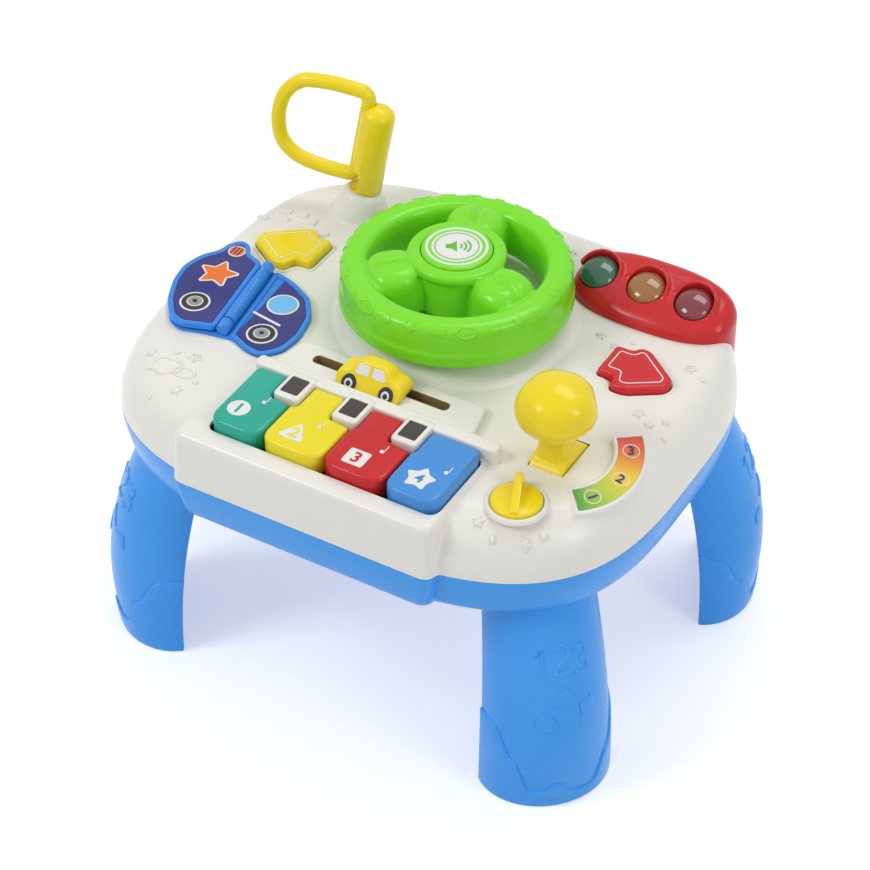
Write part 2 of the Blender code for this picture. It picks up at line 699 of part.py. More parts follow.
def arrow_outline(centre, side, grow=0.0):
    """The arrow of a turn button, pointing right for side 1 and left for side -1."""
    points = [(centre[0] + side * across * ARROW_LENGTH, centre[1] + along * ARROW_WIDTH)
              for across, along in ARROW_SHARES]
    if side > 0:
        points.reverse()
    return inset_outline(points, -grow)


def book_points(shares):
    return [(BOOK_PLACE[0] + across * BOOK_LENGTH, BOOK_PLACE[1] + along * BOOK_DEPTH)
            for across, along in shares]


def book_outline():
    """The whole car outline of the book, anticlockwise."""
    clockwise = book_points(BOOK_LEFT_SHARES + BOOK_RIGHT_SHARES)
    return [Vector(point) for point in reversed(clockwise)]


def label_arc(outer, inner, start, end, steps=8):
    """A bent strip around the gear lever, anticlockwise."""
    def point(radius, angle):
        return Vector((GEAR_LABEL_CENTRE[0] + radius * math.cos(math.radians(angle)),
                       GEAR_LABEL_CENTRE[1] + radius * math.sin(math.radians(angle))))
    angles = [start + (end - start) * step / steps for step in range(steps + 1)]
    return [point(outer, angle) for angle in angles] + [point(inner, angle) for angle in reversed(angles)]


def tilt_label(piece):
    """Lean the gear label outwards about its inner edge, as the deck falls away there."""
    fall = math.radians(GEAR_LABEL_FALL)
    downhill = Vector((math.cos(fall), math.sin(fall), 0.0))
    edge = Vector((*GEAR_LABEL_CENTRE, DECK_HEIGHT)) + downhill * GEAR_LABEL_INNER * GEAR_LABEL_HINGE_SHARE
    turn = Matrix.Rotation(math.radians(GEAR_LABEL_TILT), 4, Vector((-downhill.y, downhill.x, 0.0)))
    piece.matrix_basis = Matrix.Translation(edge) @ turn @ Matrix.Translation(-edge) @ piece.matrix_basis
    return piece


def post_frame():
    """Matrix of the post's own axes: Z along the post, X towards the loop."""
    lean = Vector((math.tan(math.radians(POST_LEAN_X)), math.tan(math.radians(POST_LEAN_Y)), 1.0)).normalized()
    towards = Vector((math.cos(math.radians(LOOP_TURN)), math.sin(math.radians(LOOP_TURN)), 0.0))
    across = (towards - lean * towards.dot(lean)).normalized()
    side = lean.cross(across)
    turn = Matrix((across, side, lean)).transposed().to_4x4()
    return Matrix.Translation((*POST_PLACE, DECK_HEIGHT + BOSS_RISE)) @ turn


def on_post(piece):
    piece.matrix_basis = post_frame() @ piece.matrix_basis
    return piece


def case_screw_places():
    return [(across * TABLE_HALF_WIDTH, along * TABLE_HALF_DEPTH) for across, along in CASE_SCREW_SHARES]


def make_top_shell():
    """White deck casing: one moulding with the piano block, mound, rims and bosses."""
    shell = deck_solid("top_shell", 0.0, SEAM_TOP)
    CUTTERS.objects.unlink(shell)
    PARTS.objects.link(shell)
    shell.hide_render = False
    shell.display_type = "TEXTURED"
    shell.data.materials.append(finish_of("white_shell", WHITE, 0.3))
    shell.data.shade_smooth()
    shell.data.set_sharp_from_angle(angle=math.radians(35))

    join(shell, block_solid("block_outside", 0.0, SEAM_TOP), mound_solid("mound_outside", 0.0))
    book_pad = inset_outline(book_outline(), -PLINTH_MARGIN)
    join(shell, stack("book_plinth", book_pad, [(0.0, DECK_UNDER - EDGE_ROUND / 3),
                                                (0.0, BOOK_BOTTOM - FIT_GAP - PLINTH_EDGE),
                                                (PLINTH_EDGE, BOOK_BOTTOM - FIT_GAP)], corner=BOOK_CORNER))
    below = SEAM_TOP - CUT_OVERRUN
    cut(shell, deck_solid("deck_inside", -DECK_WALL, below), block_solid("block_inside", -DECK_WALL, below),
        mound_solid("mound_inside", -DECK_WALL, SHAFT_RADIUS + MOVE_GAP + COLLAR_WALL))

    panel = [(-PANEL_FRONT_HALF, PANEL_FRONT), (PANEL_FRONT_HALF, PANEL_FRONT),
             (PANEL_BACK_HALF, PANEL_BACK), (-PANEL_BACK_HALF, PANEL_BACK)]
    join(shell, stack("slot_panel", panel, [(0.0, DECK_HEIGHT - JOIN_DEPTH), (0.0, PANEL_TOP - PANEL_EDGE),
                                            (PANEL_EDGE, PANEL_TOP)], corner=BLOCK_CORNER / 2, steps=2))
    slot = rectangle(SLOT_LEFT, SLOT_RIGHT, SLOT_PLACE - SLOT_WIDTH / 2, SLOT_PLACE + SLOT_WIDTH / 2)
    cut(shell, stack("car_slot", slot, [(0.0, DECK_UNDER - CUT_OVERRUN), (0.0, PANEL_TOP + CUT_OVERRUN)],
                     corner=SLOT_WIDTH / 2))

    edges = key_edges()
    opening = rectangle(edges[0] - MOVE_GAP, edges[-1] + MOVE_GAP, KEY_FRONT - KEY_SWING_GAP, KEY_BACK + MOVE_GAP)
    cut(shell, stack("key_opening", opening, [(0.0, DECK_UNDER - BLOCK_EDGE_DROP), (0.0, BLOCK_TOP + CUT_OVERRUN)],
                     corner=[KEY_CORNER, KEY_CORNER, KEY_CHAMFER, KEY_BACK_CORNER]))
    ridge = rectangle(edges[0] - RIDGE_SIDE, edges[-1] + RIDGE_END, KEY_BACK + MOVE_GAP, KEY_BACK + RIDGE_DEPTH)
    ridge_top = DECK_HEIGHT + RIDGE_RISE
    join(shell, stack("key_ridge", ridge, [(0.0, DECK_UNDER + JOIN_DEPTH / 2), (0.0, ridge_top - FRAME_EDGE),
                                           (FRAME_EDGE, ridge_top)], corner=FRAME_CORNER, steps=2))
    frame_top = DECK_HEIGHT + FRAME_RISE
    for number, centre in enumerate(sharp_centres(), 1):
        left, right, front = frame_sides(centre)
        tongue = rectangle(left, right, front, KEY_BACK + RIDGE_DEPTH / 2)
        join(shell, stack(f"sharp_frame_{number}", tongue,
                          [(0.0, KEY_BOTTOM + JOIN_DEPTH), (0.0, frame_top - FRAME_EDGE), (FRAME_EDGE, frame_top)],
                          corner=FRAME_CORNER, steps=2))
        grow = SHARP_WIDTH / 2 + FIT_GAP / 2
        pocket = block(f"sharp_pocket_{number}",
                       (centre - grow, KEY_BACK - SHARP_LENGTH - FIT_GAP / 2, frame_top - INLAY_POCKET),
                       (centre + grow, KEY_BACK + FIT_GAP / 2, frame_top + CUT_OVERRUN))
        cut(shell, pocket)

    for name, centre, side in (("left", ARROW_LEFT_PLACE, -1), ("right", ARROW_RIGHT_PLACE, 1)):
        rim = arrow_outline(centre, side, MOVE_GAP + ARROW_RIM)
        join(shell, stack(f"arrow_rim_{name}", rim, [(0.0, DECK_HEIGHT - JOIN_DEPTH),
                                                     (ARROW_RIM / 3, DECK_HEIGHT + ARROW_RIM_RISE)],
                          corner=ARROW_CORNER + ARROW_RIM, steps=2))
        hole = arrow_outline(centre, side, MOVE_GAP)
        cut(shell, stack(f"arrow_hole_{name}", hole, [(0.0, DECK_UNDER - EDGE_ROUND / 4),
                                                      (0.0, DECK_HEIGHT + ARROW_RIM_RISE + CUT_OVERRUN)],
                         corner=ARROW_CORNER, steps=2))

    pad = label_arc(GEAR_LABEL_OUTER + GEAR_PAD_MARGIN, GEAR_LABEL_INNER - GEAR_PAD_MARGIN,
                    GEAR_LABEL_SPAN[0] - 3, GEAR_LABEL_SPAN[1] + 3)
    pad_top = DECK_HEIGHT + GEAR_PAD_RISE
    join(shell, tilt_label(stack("gear_pad", pad, [(0.0, DECK_HEIGHT - GEAR_PAD_DEPTH), (0.0, pad_top)])))
    pocket = label_arc(GEAR_LABEL_OUTER + FIT_GAP, GEAR_LABEL_INNER - FIT_GAP, GEAR_LABEL_SPAN[0] - 0.5,
                       GEAR_LABEL_SPAN[1] + 0.5)
    cut(shell, tilt_label(stack("gear_label_pocket", pocket,
                                [(0.0, pad_top - GEAR_LABEL_THICKNESS - FIT_GAP), (0.0, pad_top + CUT_OVERRUN)])))

    x, y = SWITCH_PLACE
    collar_inside = SWITCH_RADIUS + MOVE_GAP
    collar_top = DECK_HEIGHT + SWITCH_COLLAR_RISE
    cut(shell, cylinder("switch_recess", collar_inside + SWITCH_COLLAR_WIDTH / 2, DECK_HEIGHT - FIT_GAP / 2,
                        collar_top + CUT_OVERRUN, (x, y)))
    join(shell, turned("switch_collar",
                       [(collar_inside, collar_top), (collar_inside + SWITCH_COLLAR_WIDTH * 0.6, collar_top),
                        (collar_inside + SWITCH_COLLAR_WIDTH, DECK_HEIGHT - JOIN_DEPTH),
                        (collar_inside, DECK_HEIGHT - JOIN_DEPTH)], (x, y, 0.0)))
    switch_top = switch_body_top()
    for side in (-1, 1):
        join(shell, cylinder(f"switch_post_{side + 2}", SWITCH_POST_RADIUS, switch_top + FIT_GAP,
                             DECK_HEIGHT - JOIN_DEPTH, (x + side * SWITCH_BODY[0] * 0.38, y),
                             steps=SMALL_ROUND_STEPS))
    cut(shell, cylinder("switch_hole", SWITCH_SHAFT_RADIUS + MOVE_GAP, DECK_UNDER - CUT_OVERRUN,
                        DECK_HEIGHT + CUT_OVERRUN, (x, y), steps=SMALL_ROUND_STEPS))

    x, y = GEAR_PLACE
    half = GEAR_DRUM_WIDTH / 2 + MOVE_GAP
    for side in (-1, 1):
        inner = x + side * half
        outer = inner + side * GEAR_EAR_THICKNESS
        join(shell, block(f"gear_ear_{side + 2}",
                          (min(inner, outer), y - GEAR_EAR_HALF, GEAR_PIVOT - GEAR_EAR_HALF),
                          (max(inner, outer), y + GEAR_EAR_HALF, DECK_HEIGHT - JOIN_DEPTH)))
    reach = half + GEAR_EAR_THICKNESS + CUT_OVERRUN
    cut(shell, bar("gear_pin_hole", GEAR_PIN_RADIUS + FIT_GAP, (x - reach, y, GEAR_PIVOT),
                   (x + reach, y, GEAR_PIVOT)),
        bar("gear_slot", GEAR_DRUM_RADIUS + MOVE_GAP, (x - half, y, GEAR_PIVOT), (x + half, y, GEAR_PIVOT),
            steps=WHEEL_STEPS))

    low = KEY_BOTTOM - KEY_TAIL_THICKNESS - CUT_OVERRUN
    lug_starts = (edges[0] - MOVE_GAP - HINGE_LUG_WIDTH, edges[-1] + MOVE_GAP)
    for number, start in enumerate(lug_starts, 1):
        join(shell, block(f"rod_lug_{number}", (start, ROD_PLACE_Y - HINGE_LUG_HALF, low),
                          (start + HINGE_LUG_WIDTH, ROD_PLACE_Y + HINGE_LUG_HALF, DECK_UNDER + JOIN_DEPTH)))
    cut(shell, bar("rod_hole", HINGE_ROD_RADIUS + FIT_GAP,
                   (lug_starts[0] - CUT_OVERRUN, ROD_PLACE_Y, ROD_HEIGHT),
                   (lug_starts[1] + HINGE_LUG_WIDTH + CUT_OVERRUN, ROD_PLACE_Y, ROD_HEIGHT)))
    board_end = KEY_BOARD_HALF + FIT_GAP
    ledge_top = key_board_bottom() - FIT_GAP
    front, back = key_board_middle() - KEY_BOARD_DEPTH / 2, key_board_middle() + KEY_BOARD_DEPTH / 2
    for side in (-1, 1):
        near, far = side * board_end, side * (board_end + LEDGE_THICKNESS)
        lip = side * (board_end - LEDGE_REACH)
        join(shell, block(f"board_hanger_{side + 2}", (min(near, far), front, ledge_top - LEDGE_THICKNESS),
                          (max(near, far), back, DECK_UNDER + JOIN_DEPTH)),
             block(f"board_ledge_{side + 2}", (min(lip, far), front, ledge_top - LEDGE_THICKNESS),
                   (max(lip, far), back, ledge_top)))

    centre = (0.0, WHEEL_PLACE_Y, 0.0)
    cut(shell, cylinder("shaft_bore", SHAFT_RADIUS + MOVE_GAP, DECK_UNDER - CUT_OVERRUN, MOUND_TOP + CUT_OVERRUN,
                        centre))

    boss = turned("post_boss", [(0.0, -FIT_GAP), (BOSS_TOP_RADIUS - PANEL_EDGE, -FIT_GAP),
                                (BOSS_TOP_RADIUS, -FIT_GAP - PANEL_EDGE),
                                (BOSS_FOOT_RADIUS, -BOSS_RISE - JOIN_DEPTH),
                                (0.0, -BOSS_RISE - JOIN_DEPTH)], (0.0, 0.0, 0.0))
    join(shell, on_post(boss))
    cut(shell, on_post(cylinder("shank_bore", SHANK_RADIUS + MOVE_GAP, -SHANK_LENGTH - CUT_OVERRUN, CUT_OVERRUN,
                                (0.0, 0.0))))

    boss_low = FLOOR_TOP + CASE_POST_HEIGHT + FIT_GAP
    rib_low = SEAM_TOP + LIP_HEIGHT + CUT_OVERRUN
    for number, (x, y) in enumerate(case_screw_places()[:2], 1):
        join(shell, block(f"boss_rib_{number}", (x - BOSS_RIB / 2, BLOCK_FRONT + BLOCK_LEAN + DECK_WALL / 2, rib_low),
                          (x + BOSS_RIB / 2, y, boss_top_height(x, y) - JOIN_DEPTH)))
    for number, (x, y) in enumerate(case_screw_places(), 1):
        join(shell, cylinder(f"case_boss_{number}", CASE_BOSS_RADIUS, boss_low, boss_top_height(x, y), (x, y),
                             steps=SMALL_ROUND_STEPS))
        cut(shell, cylinder(f"case_pilot_{number}", SCREW_RADIUS + FIT_GAP, boss_low - CUT_OVERRUN,
                            boss_low + CASE_BITE + CUT_OVERRUN, (x, y), steps=SMALL_ROUND_STEPS))
    return shell


def boss_top_height(x, y):
    """How far up a screw boss goes: below the keys in the piano block, elsewhere into the deck's wall."""
    if abs(x) < BLOCK_HALF_WIDTH and y < BLOCK_BACK:
        return KEY_BOTTOM - BLOCK_CORNER
    back = TABLE_HALF_DEPTH if y > 0 else TABLE_HALF_DEPTH - FRONT_SETBACK
    for angle in reversed(EDGE_ANGLES):
        inset = EDGE_ROUND * (1 - math.cos(math.radians(angle)))
        share = BACK_ROUND_SHARE if y > 0 else 1.0
        ring = (abs(x) + CASE_BOSS_RADIUS) / (TABLE_HALF_WIDTH - inset), \
            (abs(y) + CASE_BOSS_RADIUS) / (back - inset * share)
        if ring[0] ** CORNER_POWER + ring[1] ** CORNER_POWER < 1.0 or angle == 0:
            height = SEAM_TOP + (DECK_HEIGHT - SEAM_TOP) * math.sin(math.radians(angle))
            return height - DECK_WALL / 2
    return SEAM_TOP


# Base casing


def base_rings(inset, top):
    """Levels of the base's outside: inset from the seam, and height."""
    rise = top - BASE_BOTTOM
    return [(inset + BASE_TAPER * share, BASE_BOTTOM + rise * height) for share, height in BASE_PROFILE_SHARES]


def make_base_shell():
    """Blue base casing with a locating lip, leg slots, battery box and screw posts."""
    finish = finish_of("blue_base", BLUE, 0.32)
    lip_inset = DECK_WALL + FIT_GAP
    lip_top = SEAM_TOP + LIP_HEIGHT
    levels = base_rings(0.0, SEAM_BOTTOM)
    outer = [table_ring(inset, height) for inset, height in levels]
    outer += [table_ring(lip_inset, SEAM_BOTTOM), table_ring(lip_inset + LIP_TAPER, lip_top)]
    base = loft("base_shell", outer, finish)
    block_levels = levels + [(lip_inset, SEAM_BOTTOM), (lip_inset + LIP_TAPER, lip_top)]
    join(base, stack("base_block", block_outline(), block_levels, corner=BLOCK_CORNER))

    step = SEAM_BOTTOM - LIP_DEPTH
    inner_low = BASE_WALL + BASE_TAPER * BASE_PROFILE_SHARES[1][0]
    lip_inside = lip_inset + LIP_TAPER + LIP_WALL
    inner = [(inner_low, FLOOR_TOP), (BASE_WALL + BASE_TAPER * BASE_PROFILE_SHARES[2][0],
                                      BASE_BOTTOM + (SEAM_BOTTOM - BASE_BOTTOM) * BASE_PROFILE_SHARES[2][1]),
             (BASE_WALL, step), (lip_inside, step + JOIN_DEPTH), (lip_inside, lip_top + CUT_OVERRUN)]
    cut(base, loft("base_inside", [table_ring(inset, height) for inset, height in inner]),
        stack("base_block_inside", block_outline(), inner, corner=BLOCK_CORNER))

    x, y = BOX_PLACE
    roof = box_roof()
    half_width, half_length = BOX_WIDTH / 2, BOX_LENGTH / 2
    join(base, block("box_outside", (x - half_width - BOX_WALL, y - half_length - BOX_WALL, FLOOR_TOP - JOIN_DEPTH),
                     (x + half_width + BOX_WALL, y + half_length + BOX_WALL + BOX_LATCH, roof + BOX_ROOF)))
    cut(base, block("box_inside", (x - half_width, y - half_length, BASE_BOTTOM - CUT_OVERRUN),
                    (x + half_width, y + half_length, roof)),
        block("door_opening", (x - half_width - DOOR_THICKNESS, y - half_length - DOOR_THICKNESS,
                               BASE_BOTTOM - CUT_OVERRUN),
              (x + half_width + DOOR_THICKNESS, y + half_length + BOX_LATCH, door_ledge())),
        cylinder("door_pilot", SCREW_RADIUS + FIT_GAP, BASE_BOTTOM - CUT_OVERRUN, door_ledge() + SCREW_BITE,
                 door_screw_place(), steps=SMALL_ROUND_STEPS))

    x, y = SPEAKER_PLACE
    ring_top = FLOOR_TOP + SPEAKER_RIM
    join(base, turned("speaker_ring", [(SPEAKER_RADIUS + FIT_GAP, ring_top), (SPEAKER_RADIUS + SPEAKER_RIM, ring_top),
                                       (SPEAKER_RADIUS + SPEAKER_RIM, FLOOR_TOP - JOIN_DEPTH),
                                       (SPEAKER_RADIUS + FIT_GAP, FLOOR_TOP - JOIN_DEPTH)], (x, y, 0.0)))
    holes = [(x, y)] + [(x + SPEAKER_RADIUS * GRILLE_RING_SHARE * math.cos(2 * math.pi * step / GRILLE_COUNT),
                         y + SPEAKER_RADIUS * GRILLE_RING_SHARE * math.sin(2 * math.pi * step / GRILLE_COUNT))
                        for step in range(GRILLE_COUNT)]
    for number, hole in enumerate(holes, 1):
        cut(base, cylinder(f"grille_hole_{number}", GRILLE_HOLE_RADIUS, BASE_BOTTOM - CUT_OVERRUN,
                           FLOOR_TOP + CUT_OVERRUN, hole, steps=8))

    for side_x in (-1, 1):
        for side_y in (-1, 1):
            post = (BOARD_PLACE[0] + side_x * BOARD_SIZE[0] * BOARD_POST_SHARE,
                    BOARD_PLACE[1] + side_y * BOARD_SIZE[1] * BOARD_POST_SHARE)
            join(base, cylinder(f"board_post_{side_x + 2}_{side_y + 2}", BOARD_POST_RADIUS, FLOOR_TOP - JOIN_DEPTH,
                                FLOOR_TOP + BOARD_POST_HEIGHT, post, steps=8))

    for number, place_xy in enumerate(case_screw_places(), 1):
        join(base, cylinder(f"case_post_{number}", CASE_POST_RADIUS, FLOOR_TOP - JOIN_DEPTH,
                            FLOOR_TOP + CASE_POST_HEIGHT, place_xy, steps=SMALL_ROUND_STEPS))
        cut(base, cylinder(f"case_hole_{number}", SCREW_RADIUS + FIT_GAP, BASE_BOTTOM - CUT_OVERRUN,
                           FLOOR_TOP + CASE_POST_HEIGHT + CUT_OVERRUN, place_xy, steps=SMALL_ROUND_STEPS),
            cylinder(f"case_counterbore_{number}", CASE_HEAD_RADIUS + FIT_GAP, BASE_BOTTOM - CUT_OVERRUN,
                     BASE_BOTTOM + CASE_HEAD_DEPTH, place_xy, steps=SMALL_ROUND_STEPS))

    for side_x in (-1, 1):
        for side_y in (-1, 1):
            rings = [leg_ring(side_x, side_y, height, LEG_SHOULDER - FIT_GAP, LEG_TOP_WALL + FIT_GAP, FIT_GAP)
                     for height in (BASE_BOTTOM - CUT_OVERRUN, FLOOR_TOP + LEG_PLUG + FIT_GAP)]
            cut(base, loft(f"leg_slot_{side_x + 2}_{side_y + 2}", rings))
    return base


def box_roof():
    return door_ledge() + 2 * CELL_RADIUS + 2 * MOVE_GAP


def door_ledge():
    return FLOOR_TOP - FIT_GAP


def door_screw_place():
    return BOX_PLACE[0], BOX_PLACE[1] + BOX_LENGTH / 2 + BOX_LATCH / 2


# Legs


def leg_centre(side_x, side_y, height):
    """Middle of the leg's open side, and its outward and sideways directions, at one height."""
    spread, angle = (LEG_FRONT_SPREAD, LEG_FRONT_DIRECTION) if side_y < 0 else (LEG_BACK_SPREAD, LEG_BACK_DIRECTION)
    angle = math.radians(angle)
    outward = Vector((side_x * math.cos(angle), side_y * math.sin(angle)))
    sideways = Vector((-outward.y, outward.x))
    slide = LEG_FLARE * (height / LEG_TOP) ** LEG_FLARE_POWER if height > 0 else 0.0
    middle = Vector((side_x * spread[0], side_y * spread[1])) - outward * slide
    return middle, outward, sideways


def leg_point(side_x, side_y, height, angle, inset, end_extra=0.0):
    """A point of the leg's bent wall: angle runs from -90 to 90 degrees across it."""
    share = min(max(height / LEG_TOP, 0.0), 1.0)
    middle, outward, sideways = leg_centre(side_x, side_y, height)
    half = LEG_HALF_WIDTH + (LEG_TOP_HALF_WIDTH - LEG_HALF_WIDTH) * share ** 1.5 - inset
    reach = LEG_REACH + (LEG_TOP_REACH - LEG_REACH) * share + LEG_BULGE * math.sin(math.pi * share) - inset
    turn = math.radians(angle)
    push = end_extra if abs(angle) >= 90 else 0.0
    spot = middle + sideways * half * math.sin(turn) + outward * (reach * math.cos(turn) - push)
    return (spot.x, spot.y, height)


def leg_ring(side_x, side_y, height, outer, inner, end_extra=0.0):
    angles = [-90 + 180 * step / LEG_STEPS for step in range(LEG_STEPS + 1)]
    outside = [leg_point(side_x, side_y, height, angle, outer, end_extra) for angle in angles]
    inside = [leg_point(side_x, side_y, height, angle, inner, end_extra) for angle in reversed(angles)]
    return outside + inside


def boot_height(share):
    """Height of the boot's wavy edge across the leg, share -1 to 1."""
    for (left, low), (right, high) in zip(BOOT_WAVE_SHARES, BOOT_WAVE_SHARES[1:]):
        if left <= share <= right:
            along = (1 - math.cos(math.pi * (share - left) / (right - left))) / 2
            return BOOT_HEIGHT * (low + (high - low) * along)
    return BOOT_HEIGHT


def make_leg(name, side_x, side_y):
    """A hollow leg, open towards the middle, with a raised boot and a plug for the base."""
    angles = [-90 + 180 * step / LEG_STEPS for step in range(LEG_STEPS + 1)]
    twist = side_x * side_y

    def row(height_of, outer, inner):
        def at(angle, inset):
            return leg_point(side_x, side_y, height_of(twist * angle / 90), angle, inset)
        return [at(angle, outer) for angle in angles] + [at(angle, inner) for angle in reversed(angles)]

    rows = [row(lambda share: 0.0, -BOOT_STEP, LEG_WALL),
            row(lambda share: boot_height(share) / 2, -BOOT_STEP, LEG_WALL),
            row(boot_height, -BOOT_STEP, LEG_WALL),
            row(lambda share: boot_height(share) + BOOT_LEDGE, 0.0, LEG_WALL)]
    for rise in LEG_ROW_SHARES:
        wall = LEG_WALL if rise < LEG_ROW_SHARES[-2] else LEG_TOP_WALL
        rows.append(row(lambda share, rise=rise: boot_height(share) + BOOT_LEDGE
                        + (LEG_TOP - boot_height(share) - BOOT_LEDGE) * rise, 0.0, wall))
    rows.append(leg_ring(side_x, side_y, LEG_TOP, LEG_SHOULDER, LEG_TOP_WALL))
    rows.append(leg_ring(side_x, side_y, FLOOR_TOP + LEG_PLUG, LEG_SHOULDER, LEG_TOP_WALL))
    return loft(name, rows, finish_of(name, BLUE, 0.32))


# Pieces in the base


def make_base_contents():
    x, y = BOX_PLACE
    half_width = BOX_WIDTH / 2 + DOOR_THICKNESS - FIT_GAP
    door = block("battery_door", (x - half_width, y - BOX_LENGTH / 2 - DOOR_THICKNESS + FIT_GAP, BASE_BOTTOM),
                 (x + half_width, y + BOX_LENGTH / 2 + BOX_LATCH - FIT_GAP, BASE_BOTTOM + DOOR_THICKNESS),
                 finish_of("blue_door", BLUE, 0.35))
    screw_x, screw_y = door_screw_place()
    head_bottom = BASE_BOTTOM + DOOR_THICKNESS / 3
    cut(door, cylinder("door_hole", SCREW_RADIUS + FIT_GAP, BASE_BOTTOM - CUT_OVERRUN,
                       BASE_BOTTOM + DOOR_THICKNESS + CUT_OVERRUN, (screw_x, screw_y), steps=SMALL_ROUND_STEPS))
    turned("battery_door_screw",
           [(0.0, door_ledge() + SCREW_BITE - CUT_OVERRUN), (SCREW_RADIUS, door_ledge() + SCREW_BITE - CUT_OVERRUN),
            (SCREW_RADIUS, BASE_BOTTOM - FIT_GAP), (CASE_HEAD_RADIUS, BASE_BOTTOM - FIT_GAP),
            (CASE_HEAD_RADIUS, head_bottom - CASE_HEAD_HEIGHT), (0.0, head_bottom - CASE_HEAD_HEIGHT)],
           (screw_x, screw_y, 0.0), finish_of("door_screw_steel", STEEL, 0.3, 1.0), steps=SMALL_ROUND_STEPS)
    pitch = 2 * CELL_RADIUS + CELL_GAP
    height = BASE_BOTTOM + DOOR_THICKNESS + FIT_GAP + CELL_RADIUS
    for number in range(CELL_COUNT):
        cell_x = x + (number - (CELL_COUNT - 1) / 2) * pitch
        bar(f"battery_{number + 1}", CELL_RADIUS, (cell_x, y - CELL_LENGTH / 2, height),
            (cell_x, y + CELL_LENGTH / 2, height), finish_of(f"battery_{number + 1}_case", CELL_GREY, 0.35))
    x, y = SPEAKER_PLACE
    bottom = FLOOR_TOP + FIT_GAP
    turned("speaker", [(0.0, bottom + SPEAKER_DEPTH), (SPEAKER_RADIUS * 0.45, bottom + SPEAKER_DEPTH),
                       (SPEAKER_RADIUS * 0.45, bottom + SPEAKER_DEPTH * 0.6),
                       (SPEAKER_RADIUS * 0.9, bottom + SPEAKER_DEPTH * 0.25),
                       (SPEAKER_RADIUS, bottom + SPEAKER_DEPTH * 0.2), (SPEAKER_RADIUS, bottom), (0.0, bottom)],
           (x, y, 0.0), finish_of("speaker_frame", CELL_GREY, 0.5))
    x, y = BOARD_PLACE
    bottom = FLOOR_TOP + BOARD_POST_HEIGHT + FIT_GAP
    block("circuit_board", (x - BOARD_SIZE[0] / 2, y - BOARD_SIZE[1] / 2, bottom),
          (x + BOARD_SIZE[0] / 2, y + BOARD_SIZE[1] / 2, bottom + BOARD_THICKNESS),
          finish_of("board_green", BOARD_GREEN, 0.45))
    head_top = BASE_BOTTOM + CASE_HEAD_DEPTH - FIT_GAP
    tip = FLOOR_TOP + CASE_POST_HEIGHT + CASE_BITE
    for number, (x, y) in enumerate(case_screw_places(), 1):
        turned(f"case_screw_{number}",
               [(0.0, tip), (SCREW_RADIUS, tip), (SCREW_RADIUS, head_top), (CASE_HEAD_RADIUS, head_top),
                (CASE_HEAD_RADIUS, head_top - CASE_HEAD_HEIGHT), (0.0, head_top - CASE_HEAD_HEIGHT)],
               (x, y, 0.0), finish_of(f"case_screw_{number}_steel", STEEL, 0.3, 1.0), steps=SMALL_ROUND_STEPS)


# Piano


def key_board_middle():
    return KEY_BACK + (KEY_FRONT - KEY_BACK) * PLUNGER_PLACE_SHARE


def dome_top():
    return KEY_BOTTOM - PLUNGER_LENGTH - DOME_CLEARANCE


def key_board_bottom():
    return dome_top() - DOME_HEIGHT - STRIP_THICKNESS - FIT_GAP - KEY_BOARD_THICKNESS


